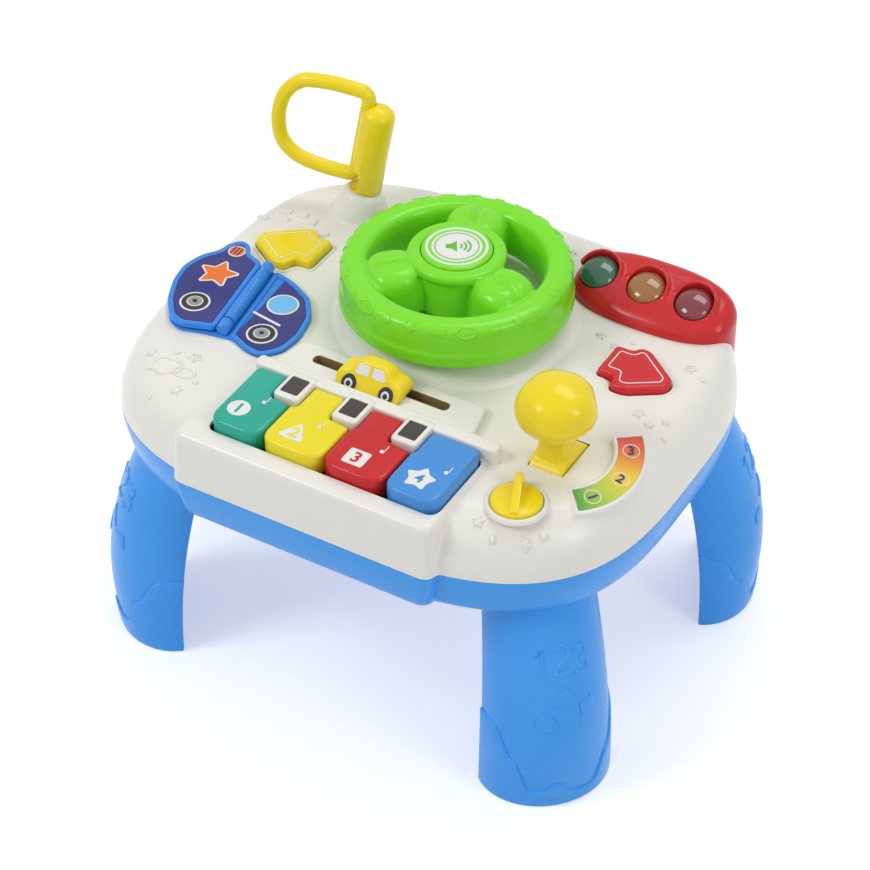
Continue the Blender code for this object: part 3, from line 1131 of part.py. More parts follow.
def make_key(number, left, right):
    """A key with its corners cut away beside the sharps, a tail on the hinge rod and a plunger."""
    left, right = left + KEY_GAP / 2, right - KEY_GAP / 2
    outline = [(left, KEY_FRONT), (right, KEY_FRONT)]
    corners = [KEY_CORNER, KEY_CORNER]
    back_left, back_right = left, right
    for centre in sharp_centres():
        frame_left, frame_right, frame_front = frame_sides(centre)
        if left < frame_left < right:
            back_right = frame_left - KEY_GAP
            outline += [(right, frame_front - KEY_GAP - FRAME_CORNER / 2), (back_right, frame_front - KEY_GAP)]
            corners += [KEY_SHOULDER_CORNER, KEY_SHOULDER_CORNER]
        if left < frame_right < right:
            back_left = frame_right + KEY_GAP
    outline.append((back_right, KEY_BACK))
    corners.append(KEY_BACK_CORNER if back_right < right else KEY_CHAMFER)
    outline.append((back_left, KEY_BACK))
    corners.append(KEY_BACK_CORNER)
    if back_left > left:
        shoulder = frame_sides(0.0)[2] - KEY_GAP
        outline += [(back_left, shoulder), (left, shoulder - FRAME_CORNER / 2)]
        corners += [KEY_SHOULDER_CORNER, KEY_SHOULDER_CORNER]
    finish = finish_of(f"key_{number}_plastic", KEY_COLOURS[number - 1], 0.25)
    levels = [(KEY_GAP, KEY_BOTTOM), (0.0, KEY_BOTTOM + KEY_EDGE), (0.0, KEY_TOP - 2 * KEY_EDGE),
              (KEY_EDGE / 3, KEY_TOP - KEY_EDGE * 0.7), (KEY_EDGE, KEY_TOP)]
    key = stack(f"piano_key_{number}", outline, levels, finish, corners)
    tail_left, tail_right = back_left + KEY_TAIL_INSET / 4, back_right - KEY_TAIL_INSET / 4
    tail = block(f"key_tail_{number}", (tail_left, KEY_BACK - KEY_TAIL_LENGTH, KEY_BOTTOM - KEY_TAIL_THICKNESS),
                 (tail_right, ROD_PLACE_Y + HINGE_LUG_HALF, KEY_BOTTOM))
    riser = block(f"key_riser_{number}", (tail_left, KEY_BACK - KEY_TAIL_LENGTH + JOIN_DEPTH, KEY_BOTTOM - JOIN_DEPTH),
                  (tail_right, KEY_BACK - JOIN_DEPTH, KEY_BOTTOM + JOIN_DEPTH))
    middle = (left + right) / 2
    along = key_board_middle()
    plunger = block(f"key_plunger_{number}",
                    (middle - PLUNGER_WIDTH / 2, along - PLUNGER_WIDTH / 4, KEY_BOTTOM - PLUNGER_LENGTH),
                    (middle + PLUNGER_WIDTH / 2, along + PLUNGER_WIDTH / 4, KEY_BOTTOM + JOIN_DEPTH))
    join(key, riser, tail, plunger)
    cut(key, bar(f"key_rod_hole_{number}", HINGE_ROD_RADIUS + FIT_GAP, (left - CUT_OVERRUN, ROD_PLACE_Y, ROD_HEIGHT),
                 (right + CUT_OVERRUN, ROD_PLACE_Y, ROD_HEIGHT)))
    return key


def make_piano():
    edges = key_edges()
    for number in range(1, len(edges)):
        make_key(number, edges[number - 1], edges[number])
    frame_top = DECK_HEIGHT + FRAME_RISE
    bottom = frame_top - INLAY_POCKET + FIT_GAP
    for number, centre in enumerate(sharp_centres(), 1):
        half = SHARP_WIDTH / 2 - FIT_GAP / 2
        block(f"sharp_inlay_{number}", (centre - half, KEY_BACK - SHARP_LENGTH + FIT_GAP / 2, bottom),
              (centre + half, KEY_BACK - FIT_GAP / 2, bottom + INLAY_THICKNESS),
              finish_of(f"sharp_{number}_brown", SHARP_BROWN, 0.45))
    bar("key_hinge_rod", HINGE_ROD_RADIUS, (edges[0] - HINGE_ROD_OVERHANG, ROD_PLACE_Y, ROD_HEIGHT),
        (edges[-1] + HINGE_ROD_OVERHANG, ROD_PLACE_Y, ROD_HEIGHT), finish_of("hinge_rod_steel", STEEL, 0.25, 1.0))
    along = key_board_middle()
    bottom = key_board_bottom()
    top = bottom + KEY_BOARD_THICKNESS
    block("key_circuit_board", (-KEY_BOARD_HALF, along - KEY_BOARD_DEPTH / 2, bottom),
          (KEY_BOARD_HALF, along + KEY_BOARD_DEPTH / 2, top), finish_of("key_board_green", BOARD_GREEN, 0.45))
    strip_bottom = top + FIT_GAP
    strip = block("key_contact_strip", (edges[0], along - DOME_RADIUS - JOIN_DEPTH, strip_bottom),
                  (edges[-1], along + DOME_RADIUS + JOIN_DEPTH, strip_bottom + STRIP_THICKNESS),
                  finish_of("strip_rubber", RUBBER_GREY, 0.8))
    for number in range(1, len(edges)):
        middle = (edges[number - 1] + edges[number]) / 2
        join(strip, turned(f"dome_{number}", [(0.0, dome_top()), (DOME_RADIUS * 0.7, dome_top()),
                                              (DOME_RADIUS, strip_bottom + STRIP_THICKNESS / 2),
                                              (0.0, strip_bottom + STRIP_THICKNESS / 2)],
                           (middle, along, 0.0), steps=SMALL_ROUND_STEPS))


# Sliding car


def make_slider():
    """A little car on the slot panel, with a neck through the slot and a plate under it."""
    centre = (SLOT_LEFT + SLOT_RIGHT) / 2
    bottom = PANEL_TOP + FIT_GAP
    front = SLOT_PLACE - CAR_WIDTH * 0.72
    back = SLOT_PLACE + CAR_WIDTH * 0.28
    finish = finish_of("car_yellow", YELLOW, 0.28)
    rings = []
    for depth_share, shrink in ((0.0, 0.75), (0.06, 0.25), (0.14, 0.0), (0.86, 0.0), (0.94, 0.25), (1.0, 0.75)):
        ring = []
        for across, up in CAR_SIDE_SHARES:
            lean = (CAR_FRONT_LEAN * (1 - depth_share) - CAR_BACK_LEAN * depth_share) * up
            ring.append((centre + CAR_SHIFT + across * CAR_LENGTH * (1 - shrink * 0.05),
                         front + (back - front) * depth_share + lean,
                         bottom + up * CAR_HEIGHT * (1 - shrink * 0.08)))
        rings.append(ring)
    car = loft("slider_car", rings, finish)
    neck_half = CAR_NECK_LENGTH / 2
    neck_width = SLOT_WIDTH / 2 - MOVE_GAP
    under = DECK_UNDER - FIT_GAP - RETAINER_THICKNESS
    neck = block("car_neck", (centre - neck_half, SLOT_PLACE - neck_width, under),
                 (centre + neck_half, SLOT_PLACE + neck_width, bottom + JOIN_DEPTH))
    join(car, neck)
    plate = block("slider_retainer", (centre - neck_half - RETAINER_OVERLAP, SLOT_PLACE - SLOT_WIDTH / 2 - RETAINER_OVERLAP,
                                      under), (centre + neck_half + RETAINER_OVERLAP,
                                               SLOT_PLACE + SLOT_WIDTH / 2 + RETAINER_OVERLAP,
                                               under + RETAINER_THICKNESS), finish_of("retainer_white", WHITE, 0.4))
    cut(plate, block("retainer_hole", (centre - neck_half - FIT_GAP, SLOT_PLACE - neck_width - FIT_GAP,
                                       under - CUT_OVERRUN),
                     (centre + neck_half + FIT_GAP, SLOT_PLACE + neck_width + FIT_GAP,
                      under + RETAINER_THICKNESS + CUT_OVERRUN)))


# Steering wheel


def spoke_outline(direction):
    """A spoke from the hub into the rim, seen from above."""
    turn = math.radians(direction)
    outward = Vector((math.cos(turn), math.sin(turn)))
    sideways = Vector((-outward.y, outward.x))
    middle = outward * WHEEL_RADIUS * SPOKE_RADIUS_SHARE
    half_length, half_width = SPOKE_LENGTH / 2, SPOKE_WIDTH / 2
    corners = [middle + outward * across * half_length + sideways * along * half_width
               for across, along in ((-1, -1), (1, -1), (1, 1), (-1, 1))]
    return [(point.x, point.y + WHEEL_PLACE_Y) for point in corners]


def make_steering_wheel():
    centre = (0.0, WHEEL_PLACE_Y, 0.0)
    finish = finish_of("wheel_lime", LIME, 0.28)
    rise = WHEEL_TOP - WHEEL_BOTTOM
    outside, inside = WHEEL_RADIUS, WHEEL_RADIUS - RIM_WIDTH
    crown = (outside + inside) / 2

    def rim(share, down):
        return crown + (outside - crown) * share, WHEEL_TOP - rise * down

    outer = [rim(0.0, 0.0), rim(0.48, 0.035), rim(0.82, 0.15), rim(0.955, 0.34), rim(1.0, 1.0)]
    wall = RIM_WALL / (outside - crown)
    back_up = [rim(1.0 - wall, 1.0), rim(0.955 - wall, 0.36), rim(0.45, 0.14), rim(-0.45, 0.14),
               rim(-0.955 + wall, 0.36), rim(-1.0 + wall, 0.92)]
    inner = [rim(-1.0, 0.92), rim(-0.955, 0.34), rim(-0.82, 0.15), rim(-0.48, 0.035)]
    wheel = turned("steering_wheel", outer + back_up + inner, centre, finish, steps=WHEEL_STEPS)
    skirt = WHEEL_BOTTOM + CUT_OVERRUN
    spoke_top = WHEEL_TOP + SPOKE_RISE
    for number, direction in enumerate(SPOKE_DIRECTIONS, 1):
        levels = [(SPOKE_WIDTH / 2 * inset, skirt + (spoke_top - skirt) * height)
                  for inset, height in SPOKE_DOME_SHARES]
        join(wheel, stack(f"spoke_{number}", spoke_outline(direction), levels, corner=SPOKE_WIDTH * 0.45, steps=4))
    horn_bore = HORN_RADIUS + MOVE_GAP
    recess = HUB_TOP + HORN_RISE - HORN_THICKNESS - HORN_TRAVEL - MOVE_GAP
    shaft_end = DECK_UNDER - FIT_GAP / 3
    hub_bore = HORN_STEM_RADIUS + MOVE_GAP
    roof = recess - HUB_FLOOR
    hub = turned("wheel_hub", [(0.0, HUB_TOP - HUB_EDGE), (HUB_RADIUS - HUB_EDGE, HUB_TOP),
                               (HUB_RADIUS - HUB_EDGE / 3, HUB_TOP - HUB_EDGE / 3),
                               (HUB_RADIUS, HUB_TOP - HUB_EDGE * 1.3), (HUB_RADIUS, HUB_TOP - HUB_EDGE * 2.2),
                               (HUB_WAIST, HUB_TOP - HUB_EDGE * 3.4), (HUB_WAIST, skirt), (0.0, skirt)], centre)
    hollow = turned("hub_hollow", [(SHAFT_RADIUS + RIM_WALL, roof), (HUB_WAIST - RIM_WALL, roof),
                                   (HUB_WAIST - RIM_WALL, skirt - CUT_OVERRUN),
                                   (SHAFT_RADIUS + RIM_WALL, skirt - CUT_OVERRUN)], centre)
    join(wheel, hub)
    cut(wheel, hollow, cylinder("horn_recess", horn_bore, recess, HUB_TOP + CUT_OVERRUN, centre, steps=WHEEL_STEPS))
    join(wheel, cylinder("wheel_shaft", SHAFT_RADIUS, shaft_end, roof + JOIN_DEPTH, centre))
    bite = shaft_end + SCREW_BITE
    cut(wheel, cylinder("shaft_pilot", SCREW_RADIUS + FIT_GAP, shaft_end - CUT_OVERRUN, bite + FIT_GAP, centre,
                        steps=SMALL_ROUND_STEPS),
        cylinder("horn_guide", hub_bore, roof - HORN_STEM_LENGTH, recess + CUT_OVERRUN, centre,
                 steps=SMALL_ROUND_STEPS))

    top = HUB_TOP + HORN_RISE
    bottom = top - HORN_THICKNESS
    turned("horn_button", [(0.0, top), (HORN_RADIUS - 2 * HORN_EDGE, top), (HORN_RADIUS - HORN_EDGE / 2, top - HORN_EDGE / 3),
                           (HORN_RADIUS, top - HORN_EDGE), (HORN_RADIUS, bottom), (HORN_STEM_RADIUS, bottom),
                           (HORN_STEM_RADIUS, bottom - HORN_STEM_LENGTH), (0.0, bottom - HORN_STEM_LENGTH)], centre,
           finish_of("horn_lime", LIME, 0.28), steps=WHEEL_STEPS)

    washer_top = shaft_end - FIT_GAP
    washer_bottom = washer_top - WASHER_THICKNESS
    washer_radius = SHAFT_RADIUS + MOVE_GAP + COLLAR_WALL - MOVE_GAP
    turned("wheel_washer", [(SCREW_RADIUS + FIT_GAP, washer_top), (washer_radius, washer_top),
                            (washer_radius, washer_bottom), (SCREW_RADIUS + FIT_GAP, washer_bottom)], centre,
           finish_of("washer_steel", STEEL, 0.3, 1.0))
    head_top = washer_bottom - FIT_GAP
    turned("wheel_screw", [(0.0, bite), (SCREW_RADIUS, bite), (SCREW_RADIUS, head_top), (SCREW_HEAD_RADIUS, head_top),
                           (SCREW_HEAD_RADIUS, head_top - SCREW_HEAD_HEIGHT), (0.0, head_top - SCREW_HEAD_HEIGHT)],
           centre, finish_of("wheel_screw_steel", STEEL, 0.3, 1.0), steps=SMALL_ROUND_STEPS)


# Traffic lights


def lens_places():
    return [(LIGHTS_PLACE[0] + LENS_SHIFT_X + step * LENS_PITCH, LIGHTS_PLACE[1] + LENS_SHIFT_Y)
            for step in (-1, 0, 1)]


def lights_surface(y, rise, top):
    """Height of the sloping housing at a depth: lower at the front, higher at the back."""
    return DECK_HEIGHT + (top - DECK_HEIGHT) * rise * (1 + LIGHTS_SLOPE * (y - LIGHTS_PLACE[1]) / LIGHTS_HALF_DEPTH)


def lights_solid(name, inset, top, finish=None):
    """The housing's dome: shrinking rings from below the deck up to its sloping top."""
    rings = []
    for share, rise in LIGHTS_DOME_SHARES:
        shrink = inset + LIGHTS_HALF_DEPTH * share
        depth = LIGHTS_HALF_DEPTH - shrink
        outline = superellipse(LIGHTS_HALF_LENGTH - shrink, depth, depth, LIGHTS_POWER, LIGHTS_STEPS, LIGHTS_PLACE)
        rings.append([(point.x, point.y, lights_surface(point.y, rise, top) if rise > 0
                       else DECK_HEIGHT - LIGHTS_FOOT) for point in outline])
    return loft(name, rings, finish)


def on_lights(piece, spot):
    """Stand a piece made round the origin on the housing's slope, square to it."""
    slope = math.atan(LIGHTS_SLOPE * LIGHTS_HEIGHT / LIGHTS_HALF_DEPTH)
    height = lights_surface(spot[1], 1.0, LIGHTS_TOP)
    frame = Matrix.Translation((spot[0], spot[1], height)) @ Matrix.Rotation(slope, 4, "X")
    piece.matrix_basis = frame @ piece.matrix_basis
    return piece


def lens_hood(name):
    """A crescent that shades the back of a lens, highest in its middle."""
    inner = LENS_RADIUS + MOVE_GAP - JOIN_DEPTH / 4
    outer = LENS_RADIUS + MOVE_GAP + HOOD_WALL
    rings = []
    for step in range(HOOD_STEPS + 1):
        share = step / HOOD_STEPS
        angle = math.radians(HOOD_MIDDLE - HOOD_SWEEP / 2 + HOOD_SWEEP * share)
        top = HOOD_RISE * math.sin(math.pi * min(max(share, 0.04), 0.96)) ** 0.6
        section = ((inner, -HOOD_FOOT), (outer, -HOOD_FOOT), (outer, top * 0.75), (inner + HOOD_WALL * 0.4, top))
        rings.append([(radius * math.cos(angle), radius * math.sin(angle), height) for radius, height in section])
    return loft(name, rings)


def make_lights():
    housing = lights_solid("traffic_light_housing", 0.0, LIGHTS_TOP, finish_of("housing_red", RED, 0.2))
    for number, spot in enumerate(lens_places(), 1):
        join(housing, on_lights(lens_hood(f"lens_hood_{number}"), spot))
    cut(housing, lights_solid("housing_inside", LIGHTS_WALL, LIGHTS_TOP - LIGHTS_WALL))
    for number, spot in enumerate(lens_places(), 1):
        cut(housing, on_lights(cylinder(f"lens_hole_{number}", LENS_RADIUS + MOVE_GAP, -LENS_SKIRT,
                                        HOOD_RISE + CUT_OVERRUN, (0.0, 0.0)), spot))
    cut(housing, deck_solid("deck_clearance", FIT_GAP, SEAM_BOTTOM - LIP_DEPTH))

    board_bottom = DECK_HEIGHT + FIT_GAP
    board_top = board_bottom + LED_BOARD_THICKNESS
    reach = LENS_PITCH + LED_BOARD_DEPTH / 2
    x, y = lens_places()[1]
    y += LED_SETBACK
    block("led_board", (x - reach, y - LED_BOARD_DEPTH / 2, board_bottom), (x + reach, y + LED_BOARD_DEPTH / 2, board_top),
          finish_of("led_board_green", BOARD_GREEN, 0.45))
    low = LENS_WALL - LENS_SKIRT
    for (colour, tint), spot in zip(LENS_COLOURS, lens_places()):
        profile = [(0.0, LENS_RISE), (LENS_RADIUS * 0.42, LENS_RISE * 0.88), (LENS_RADIUS * 0.75, LENS_RISE * 0.5),
                   (LENS_RADIUS, -LENS_RISE * 0.4), (LENS_RADIUS, low), (LENS_RADIUS - LENS_WALL, low),
                   (LENS_RADIUS - LENS_WALL, -LENS_RISE * 0.7), (LENS_RADIUS * 0.6, LENS_RISE * 0.4 - LENS_WALL),
                   (0.0, LENS_RISE - LENS_WALL)]
        on_lights(turned(f"lens_{colour}", profile, (0.0, 0.0, 0.0), finish_of(f"lens_{colour}_clear", tint, 0.1)),
                  spot)
        led_bottom = board_top + FIT_GAP
        turned(f"led_{colour}", [(0.0, led_bottom + LED_HEIGHT), (LED_RADIUS * 0.7, led_bottom + LED_HEIGHT * 0.85),
                                 (LED_RADIUS, led_bottom + LED_HEIGHT * 0.6), (LED_RADIUS, led_bottom),
                                 (0.0, led_bottom)], (spot[0], y, 0.0), finish_of(f"led_{colour}_clear", WHITE, 0.1),
               steps=SMALL_ROUND_STEPS)


# Turn buttons


def make_turn_button(name, centre, side, colour):
    """An arrow-shaped button with a flange that holds it under the deck."""
    top = DECK_HEIGHT + ARROW_RISE
    flange_top = DECK_UNDER - FIT_GAP
    flange_bottom = flange_top - ARROW_FLANGE_THICKNESS
    outline = arrow_outline(centre, side)
    levels = [(0.0, flange_bottom + JOIN_DEPTH), (0.0, top - ARROW_EDGE), (ARROW_EDGE / 3, top - ARROW_EDGE / 3),
              (ARROW_EDGE, top)]
    button = stack(name, outline, levels, finish_of(f"{name}_plastic", colour, 0.25), ARROW_CORNER, 2)
    join(button, stack(f"{name}_flange", arrow_outline(centre, side, MOVE_GAP + ARROW_FLANGE),
                       [(0.0, flange_bottom), (0.0, flange_top)], corner=ARROW_CORNER, steps=2))
    return button


# Gear lever


def lean_gear(piece):
    """Lean a piece of the lever towards the child, about the pivot."""
    pivot = Vector((*GEAR_PLACE, GEAR_PIVOT))
    turn = Matrix.Rotation(math.radians(GEAR_REST_LEAN), 4, "X")
    piece.matrix_basis = Matrix.Translation(pivot) @ turn @ Matrix.Translation(-pivot) @ piece.matrix_basis
    return piece


def make_gear():
    x, y = GEAR_PLACE
    half = GEAR_DRUM_WIDTH / 2
    finish = finish_of("gear_yellow", YELLOW, 0.28)
    angles = [90 - GEAR_DRUM_HALF_ANGLE + 2 * GEAR_DRUM_HALF_ANGLE * step / 12 for step in range(13)]
    sector = [Vector((y + GEAR_DRUM_RADIUS * math.cos(math.radians(angle)),
                      GEAR_PIVOT + GEAR_DRUM_RADIUS * math.sin(math.radians(angle)))) for angle in angles]
    sector += [Vector((y - GEAR_HUB_RADIUS, GEAR_PIVOT - GEAR_HUB_RADIUS)),
               Vector((y + GEAR_HUB_RADIUS, GEAR_PIVOT - GEAR_HUB_RADIUS))]
    rings = [[(x + side * half, point.x, point.y) for point in sector] for side in (-1, 1)]
    lever = loft("gear_lever", rings, finish)
    stem_levels = ((GEAR_STEM_FOOT, GEAR_DRUM_RADIUS - JOIN_DEPTH * 2), (GEAR_STEM_WIDTH, GEAR_DRUM_RADIUS + BLOCK_CORNER),
                   (GEAR_STEM_WIDTH, GEAR_STEM_TOP))
    stem_rings = []
    for width, height in stem_levels:
        square = rounded(rectangle(x - width / 2, x + width / 2, y - width / 2, y + width / 2), GEAR_STEM_CORNER, 2)
        stem_rings.append([(point.x, point.y, GEAR_PIVOT + height) for point in square])
    join(lever, lean_gear(loft("gear_stem", stem_rings)))
    cut(lever, bar("gear_lever_bore", GEAR_PIN_RADIUS + FIT_GAP, (x - half - CUT_OVERRUN, y, GEAR_PIVOT),
                   (x + half + CUT_OVERRUN, y, GEAR_PIVOT)))
    reach = half + MOVE_GAP + GEAR_EAR_THICKNESS
    bar("gear_pivot_pin", GEAR_PIN_RADIUS, (x - reach, y, GEAR_PIVOT), (x + reach, y, GEAR_PIVOT),
        finish_of("pivot_steel", STEEL, 0.25, 1.0))

    base = GEAR_PIVOT + GEAR_KNOB_BASE
    profile = [(GEAR_KNOB_RADIUS * radius, base + GEAR_KNOB_HEIGHT * height) for radius, height in GEAR_KNOB_SHARES]
    profile.append((0.0, base))
    knob = turned("gear_knob", profile, (x, y, 0.0), finish_of("gear_knob_yellow", YELLOW, 0.25),
                  steps=GEAR_KNOB_STEPS)
    grow = GEAR_STEM_WIDTH / 2 + FIT_GAP
    socket = rectangle(x - grow, x + grow, y - grow, y + grow)
    lean_gear(knob)
    cut(knob, lean_gear(stack("knob_socket", socket, [(0.0, base - CUT_OVERRUN),
                                                      (0.0, GEAR_PIVOT + GEAR_STEM_TOP + FIT_GAP)],
                              corner=GEAR_STEM_CORNER, steps=2)))

    arc = label_arc(GEAR_LABEL_OUTER, GEAR_LABEL_INNER, *GEAR_LABEL_SPAN)
    top = DECK_HEIGHT + GEAR_PAD_RISE
    tilt_label(stack("gear_label", arc, [(0.0, top - GEAR_LABEL_THICKNESS), (0.0, top)],
                     finish_of("gear_label_print", LABEL_GREEN, 0.4)))


# Switch knob


def switch_body_top():
    return DECK_UNDER - 3 * MOVE_GAP - SWITCH_THICKNESS - SWITCH_BODY[2]


def make_switch():
    x, y = SWITCH_PLACE
    bottom = DECK_HEIGHT + FIT_GAP
    top = bottom + SWITCH_THICKNESS
    edge = SWITCH_THICKNESS / 3
    shaft_bottom = switch_body_top() + MOVE_GAP
    knob = turned("switch_knob", [(0.0, top), (SWITCH_RADIUS - edge, top), (SWITCH_RADIUS, top - edge),
                                  (SWITCH_RADIUS, bottom), (SWITCH_SHAFT_RADIUS, bottom),
                                  (SWITCH_SHAFT_RADIUS, shaft_bottom), (0.0, shaft_bottom)],
                  (x, y, 0.0), finish_of("switch_yellow", YELLOW, 0.25))
    back = SWITCH_RADIUS + SWITCH_FIN_OVERHANG
    front = -SWITCH_RADIUS + SWITCH_FIN_OVERHANG
    side_view = ((front, 0.0), (back, 0.0), (back, 0.72), (back - edge * 2, 1.0), (back - edge * 5, 0.92),
                 (front, 0.22))
    turn = Matrix.Rotation(math.radians(SWITCH_FIN_TURN), 4, "Z")
    fin_low = DECK_HEIGHT + SWITCH_COLLAR_RISE + MOVE_GAP
    rings = []
    for side in (-1, 1):
        ring = []
        for along, up in side_view:
            height = fin_low + (bottom + SWITCH_FIN_HEIGHT - fin_low) * up
            width = SWITCH_FIN_WIDTH / 2 * (1 - up * 0.3)
            spot = turn @ Vector((side * width, along, 0.0))
            ring.append((x + spot.x, y + spot.y, height))
        rings.append(ring)
    join(knob, loft("switch_fin", rings))
    half_x, half_y, depth = SWITCH_BODY[0] / 2, SWITCH_BODY[1] / 2, SWITCH_BODY[2]
    block("rotary_switch", (x - half_x, y - half_y, switch_body_top() - depth),
          (x + half_x, y + half_y, switch_body_top()), finish_of("switch_black", CELL_GREY, 0.5))


# Book


def spine_ends():
    """The hinge axis of the book, from its front end to its back end, without the caps."""
    front, back = book_points((SPINE_BOTTOM_SHARE, SPINE_TOP_SHARE))
    return Vector((*front, SPINE_HEIGHT)), Vector((*back, SPINE_HEIGHT))


def beside_spine(distance, side):
    """A line beside the hinge axis: front and back point, side -1 is the page's side."""
    front, back = spine_ends()
    along = (back - front).normalized()
    across = Vector((along.y, -along.x, 0.0)) * side * distance
    return (front + across).to_2d(), (back + across).to_2d()


def make_book():
    base_outline = book_outline()
    levels = [(0.0, BOOK_BOTTOM), (0.0, BOOK_TOP - BOOK_EDGE), (BOOK_EDGE, BOOK_TOP)]
    base = stack("book_base", base_outline, levels, finish_of("book_base_blue", BOOK_BLUE, 0.28), BOOK_CORNER)
    clearance = SPINE_RADIUS + MOVE_GAP
    near_front, near_back = beside_spine(clearance, 1)
    right_side = [Vector(point) for point in book_points(BOOK_RIGHT_SHARES)]
    right_half = [near_back] + right_side + [near_front]
    right_half.reverse()
    cut(base, stack("base_label_pocket", right_half, [(BOOK_BORDER, BOOK_TOP - BOOK_POCKET),
                                                      (BOOK_BORDER, BOOK_TOP + CUT_OVERRUN)], corner=BOOK_CORNER))
    front, back = spine_ends()
    along = (back - front).normalized()
    cut(base, bar("spine_groove", clearance, front - along * CUT_OVERRUN, back + along * CUT_OVERRUN))
    for number, (start, end) in enumerate(((front, front + along * SPINE_KNUCKLE),
                                           (back - along * SPINE_KNUCKLE, back)), 1):
        across = Vector((along.y, -along.x, 0.0)) * SPINE_RADIUS
        rings = []
        for end_point in (start, end):
            arch = [end_point + across * math.cos(math.pi * step / 8)
                    + Vector((0.0, 0.0, SPINE_RADIUS * math.sin(math.pi * step / 8))) for step in range(9)]
            foot = [end_point - across * 0.9, end_point + across * 0.9]
            arch += [Vector((point.x, point.y, BOOK_BOTTOM + BOOK_EDGE / 3)) for point in foot]
            rings.append(arch)
        join(base, loft(f"base_knuckle_{number}", rings))
    reach = along * SPINE_KNUCKLE
    cut(base, bar("base_pin_hole", SPINE_PIN_RADIUS + FIT_GAP, front - along * CUT_OVERRUN,
                  back + along * CUT_OVERRUN, steps=8))

    page_front, page_back = beside_spine(clearance, -1)
    left_side = [Vector(point) for point in book_points(BOOK_LEFT_SHARES)]
    left_half = [page_front] + left_side + [page_back]
    left_half.reverse()
    top = PAGE_BOTTOM + PAGE_THICKNESS
    levels = [(0.0, PAGE_BOTTOM), (0.0, top - BOOK_EDGE), (BOOK_EDGE, top)]
    page = stack("book_page", left_half, levels, finish_of("book_page_blue", BOOK_BLUE, 0.28), BOOK_CORNER)
    gap = along * MOVE_GAP
    tab_front, tab_back = beside_spine(clearance + BOOK_BORDER / 2, -1)
    mid_front, mid_back = (front + reach + gap), (back - reach - gap)
    tab = [tab_front.to_3d() + reach + gap, mid_front, mid_back, tab_back.to_3d() - reach - gap]
    join(page, stack("page_tab", [(point.x, point.y) for point in tab],
                     [(0.0, PAGE_BOTTOM + BOOK_EDGE / 3), (0.0, top - BOOK_EDGE * 1.5)]),
         bar("page_barrel", SPINE_RADIUS, mid_front, mid_back, steps=16))
    cut(page, stack("page_label_pocket", left_half, [(BOOK_BORDER, top - BOOK_POCKET),
                                                     (BOOK_BORDER, top + CUT_OVERRUN)], corner=BOOK_CORNER),
        bar("page_pin_hole", SPINE_PIN_RADIUS + FIT_GAP, front, back, steps=8))

    bar("book_hinge_pin", SPINE_PIN_RADIUS, front + along * BOOK_EDGE, back - along * BOOK_EDGE,
        finish_of("book_pin_steel", STEEL, 0.25, 1.0), steps=8)
    for name, half, surface in (("book_page_label", left_half, top), ("book_base_label", right_half, BOOK_TOP)):
        low = surface - BOOK_POCKET + FIT_GAP
        stack(name, half, [(BOOK_BORDER + FIT_GAP, low), (BOOK_BORDER + FIT_GAP, low + BOOK_LABEL_THICKNESS)],
              finish_of(f"{name}_print", INDIGO, 0.35), BOOK_CORNER)


# Post and swinging loop


def loop_path():
    """Centre line of the loop in the post's own axes: the straight bar, then the round side."""
    height = LOOP_HIGH - LOOP_LOW
    return [(LOOP_BAR_OFFSET + across * LOOP_REACH, 0.0, LOOP_LOW + up * height) for across, up in LOOP_SHARES]


